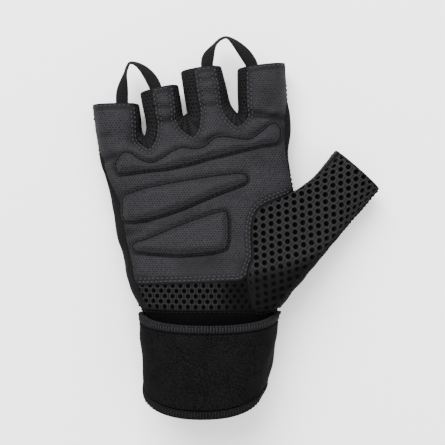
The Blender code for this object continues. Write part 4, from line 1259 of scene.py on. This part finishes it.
def makeLoop(name, fromFinger, fromShare, toFinger, toShare, rise, lean, bend):
    deepA, hemA, wayA, tiltA = loopFoot(fromFinger, fromShare)
    deepB, hemB, wayB, tiltB = loopFoot(toFinger, toShare)
    crest = Vector(((hemA.x + hemB.x) / 2 + lean, max(hemA.y, hemB.y) + rise, (hemA.z + hemB.z) / 2))
    level = Vector((1, 0, 0))
    reachA, reachB = crest - hemA, crest - hemB
    firstPull, crestPull, lastPull = loopSet["pulls"]
    legs = [
        (hemA, wayA, firstPull * reachA.y, crest, level, crestPull * reachA.x, False),
        (crest, level, -bend * reachB.x, hemB, -wayB, lastPull * reachB.y, True),
    ]
    crown, half, tuck = math.radians(loopSet["crown"]), loopSet["steps"] // 2, loopSet["tuckSteps"]
    line, turns = [deepA + (hemA - deepA) * k / tuck for k in range(tuck)], [tiltA] * tuck
    for start, wayOut, out, end, wayIn, back, falling in legs:
        second, third = start + wayOut * out, end - wayIn * back
        for k in range(1 if falling else 0, half + 1):
            t = k / half
            line.append(bezier(start, second, third, end, t))
            rest, eased = (-tiltB, 1 - t) if falling else (tiltA, t)
            turns.append(rest + (crown - rest) * ease(eased if falling else 1.5 * eased))
    line += [hemB + (deepB - hemB) * (k + 1) / tuck for k in range(tuck)]
    turns += [-tiltB] * tuck
    across = loopSet["across"]
    top, bottom = np.empty((len(line), across + 1, 3)), np.empty((len(line), across + 1, 3))
    gone, flats = 0.0, np.empty((len(line), across + 1, 2))
    for k, place in enumerate(line):
        along = (line[min(k + 1, len(line) - 1)] - line[max(k - 1, 0)]).normalized()
        flat = along.cross(Vector((0, 0, 1))).normalized()
        wide = flat * math.cos(turns[k]) + Vector((0, 0, 1)) * math.sin(turns[k])
        thick = wide.cross(along).normalized()
        gone += (place - line[k - 1]).length if k else 0.0
        for j in range(across + 1):
            side = 2 * j / across - 1
            thin = loopSet["wall"] / 2 * (1 - loopSet["thinning"] * abs(side) ** 4)
            at = place + wide * (loopSet["width"] / 2 * side) + shift
            top[k, j], bottom[k, j] = at + thick * thin, at - thick * thin
            flats[k, j] = (loopSet["width"] / 2 * side, gone)
    panel = gridPanel(top, flats)
    shells = wallUp(panel, top.reshape(-1, 3), bottom.reshape(-1, 3))
    obj = addMesh(name + "_tape", *shells, {"away": np.concatenate([panel["away"]] * 2)})
    turnOut(obj)
    finishPiece(obj, name, cloths["webbing"])


for name, row in loops.items():
    makeLoop(name, *row)
print("loops made")


def isoLines(panel, outer, value, keep):  # lines at one distance from the rim
    field = panel["away"] - value
    corners = field[panel["face"]]
    near = (corners.min(axis=1) < 0) & (corners.max(axis=1) >= 0)
    links = {}
    for face in panel["face"][near].tolist():
        cuts = []
        for k in range(4):
            a, b = sorted((face[k], face[(k + 1) % 4]))
            if (field[a] < 0) != (field[b] < 0) and keep[a] and keep[b]:
                cuts.append((a, b))
        for first, second in zip(cuts[::2], cuts[1::2]):
            links.setdefault(first, []).append(second)
            links.setdefault(second, []).append(first)
    left, lines = set(links), []
    while left:
        ends = [cut for cut in left if len([o for o in links[cut] if o in left]) <= 1]
        at = min(ends) if ends else min(left)
        line = [at]
        left.discard(at)
        while True:
            onward = [o for o in links[at] if o in left]
            if not onward:
                break
            at = onward[0]
            line.append(at)
            left.discard(at)
        if len(line) > 3:
            spots = []
            for a, b in line:
                t = field[a] / (field[a] - field[b])
                spots.append(outer[a] * (1 - t) + outer[b] * t)
            lines.append(np.array(spots))
    return lines


def evenly(line, step):
    for _ in range(2):
        line[1:-1] = (line[:-2] + 2 * line[1:-1] + line[2:]) / 4
    gone = np.concatenate([[0], np.cumsum(np.linalg.norm(np.diff(line, axis=0), axis=1))])
    count = max(2, int(gone[-1] / step))
    at = np.linspace(0, gone[-1], count + 1)
    return np.stack([np.interp(at, gone, line[:, k]) for k in range(3)], axis=1)


# A row of threads on each line: each fills three quarters of its pitch, and its ends dive in.
def sewLines(name, lines, outer, panel, thick=1.0, thread="thread"):
    cloth = BVHTree.FromPolygons([tuple(p) for p in outer], [tuple(f) for f in panel["face"].tolist()])
    places, faces, flats = [], [], []
    sides, steps = threadSet["sides"], threadSet["steps"]
    radius = threadSet["radius"] * thick
    for line in lines:
        spots = evenly(line, threadSet["pitch"] / 4)
        for start in range(0, len(spots) - 3, 4):
            first = len(places)
            for k in range(steps + 1):
                t = k / steps
                share = start + 3 * t
                low = int(share)
                spot = spots[low] + (spots[min(low + 1, len(spots) - 1)] - spots[low]) * (share - low)
                along = Vector(spots[start + 3] - spots[start]).normalized()
                found, normal, _, _ = cloth.find_nearest(Vector(spot))
                if normal.z < 0 and found.z > threadSet["sideHeight"]:
                    normal = -normal
                side = along.cross(normal).normalized()
                end = (2 * t - 1) ** 4
                lift = threadSet["rise"] - threadSet["dive"] * radius * end
                size = radius * (1 - threadSet["taper"] * end)
                for j in range(sides):
                    turn = 2 * math.pi * j / sides
                    off = side * math.cos(turn) * size + normal * (math.sin(turn) * size + lift)
                    spot = found + off
                    places.append((spot.x, spot.y, max(spot.z, 0.0)))
            for k in range(steps):
                for j in range(sides):
                    a, b = first + k * sides + j, first + k * sides + (j + 1) % sides
                    faces.append((a, b, b + sides, a + sides))
                    flats.append([(k * threadSet["flat"][0], j * threadSet["flat"][1])] * 4)
    obj = addMesh(name, places, faces, flats)
    turnOut(obj)
    obj.data.materials.append(cloths[thread])
    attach(obj, "root")


def labels(*names):
    return [panelNames.index(name) for name in names]


leatherRows = {  # how far from their rims the light stitches run, on the palm's sides and the patch
    "webs": (0.0012, 0.0030), "thumb": (0.0011, 0.0027), "hem": (0.0013,), "patch": 0.0012,
}
darkRows = {  # slot, and how far from the rim the dark stitches run
    "thumb_back": ("knit", 0.0014), "back_panel": ("knit", 0.0014),
    "wrap_top_binding": ("binding", 0.0008), "wrap_bottom_binding": ("binding", 0.0008),
    "wrist_wrap": ("neoprene", 0.0012), "cuff": ("neoprene", 0.0010),
}


def sewGlove():
    outer, palm = surfaces["palm_leather"]
    beside = palm["beside"]
    sides = {
        "webs": np.isin(beside, labels(*panelNames[7:])),
        "thumb": np.isin(beside, labels("thumb_mesh", "heel_mesh")), "hem": beside < 0,
    }
    lines = []
    for side, keep in sides.items():
        for row in leatherRows[side]:
            lines += isoLines(palm, outer, row, keep)
    sewLines("palm_stitching", lines, outer, palm)
    outer, patch = surfaces["thumb_patch"]
    every = np.ones(len(outer), bool)
    sewLines("patch_stitching", isoLines(patch, outer, leatherRows["patch"], every), outer, patch)
    for name in padRows:
        outer, pad = surfaces[name]
        every = np.ones(len(outer), bool)
        lines = isoLines(pad, outer, padSet["flange"], every)
        sewLines(name + "_stitching", lines, outer, pad, thick=0.8, thread="darkThread")
    for name, (slot, row) in darkRows.items():
        outer, panel = surfaces[name]
        lines = isoLines(panel, outer, row, np.ones(len(outer), bool))
        sewLines(name + "_stitching", lines, outer, panel, 0.8, "darkThread")


sewGlove()
print("stitching made")

stage = {
    "floor": 3.0, "drop": 0.0003, "grey": 0.97, "world": 1.6,
    "lamps": (("key", (-0.30, 0.80, 1.05), 1.0, 50.0), ("fill", (0.7, -0.1, 1.1), 1.2, 7.0)),
    "camera": (-0.0070, 0.0002, 0.52), "sensor": 36.0, "distance": 0.50, "view": 0.2314,
}


def makeStage():
    mesh = bpy.data.meshes.new("floor")
    half = stage["floor"]
    corners = [(-half, -half, 0), (half, -half, 0), (half, half, 0), (-half, half, 0)]
    mesh.from_pydata(corners, [], [(0, 1, 2, 3)])
    floor = bpy.data.objects.new("floor", mesh)
    bpy.context.scene.collection.objects.link(floor)
    floor.location.z = -stage["drop"]
    material = bpy.data.materials.new("floor")
    material.use_nodes = True
    shader = material.node_tree.nodes["Principled BSDF"]
    shader.inputs["Base Color"].default_value = (stage["grey"],) * 3 + (1,)
    shader.inputs["Roughness"].default_value = 0.9
    shader.inputs["Specular IOR Level"].default_value = 0.1
    mesh.materials.append(material)
    world = bpy.data.worlds.new("studio")
    world.use_nodes = True
    back = world.node_tree.nodes["Background"]
    back.inputs["Color"].default_value = (1, 1, 1, 1)
    back.inputs["Strength"].default_value = stage["world"]
    bpy.context.scene.world = world
    for name, place, size, power in stage["lamps"]:
        lamp = bpy.data.lights.new(name, "AREA")
        lamp.size, lamp.energy = size, power
        obj = bpy.data.objects.new(name, lamp)
        bpy.context.scene.collection.objects.link(obj)
        obj.location = place
        obj.rotation_euler = (-Vector(place)).to_track_quat("-Z", "Y").to_euler()


def makeCamera():
    camera = bpy.data.objects.new("camera", bpy.data.cameras.new("camera"))
    bpy.context.scene.collection.objects.link(camera)
    camera.location = stage["camera"]
    camera.data.sensor_width = stage["sensor"]
    camera.data.lens = stage["sensor"] * stage["distance"] / stage["view"]  # the view is this wide there
    camera.data.clip_start = 0.01
    bpy.context.scene.camera = camera


makeStage()
makeCamera()
print("stage and camera set")
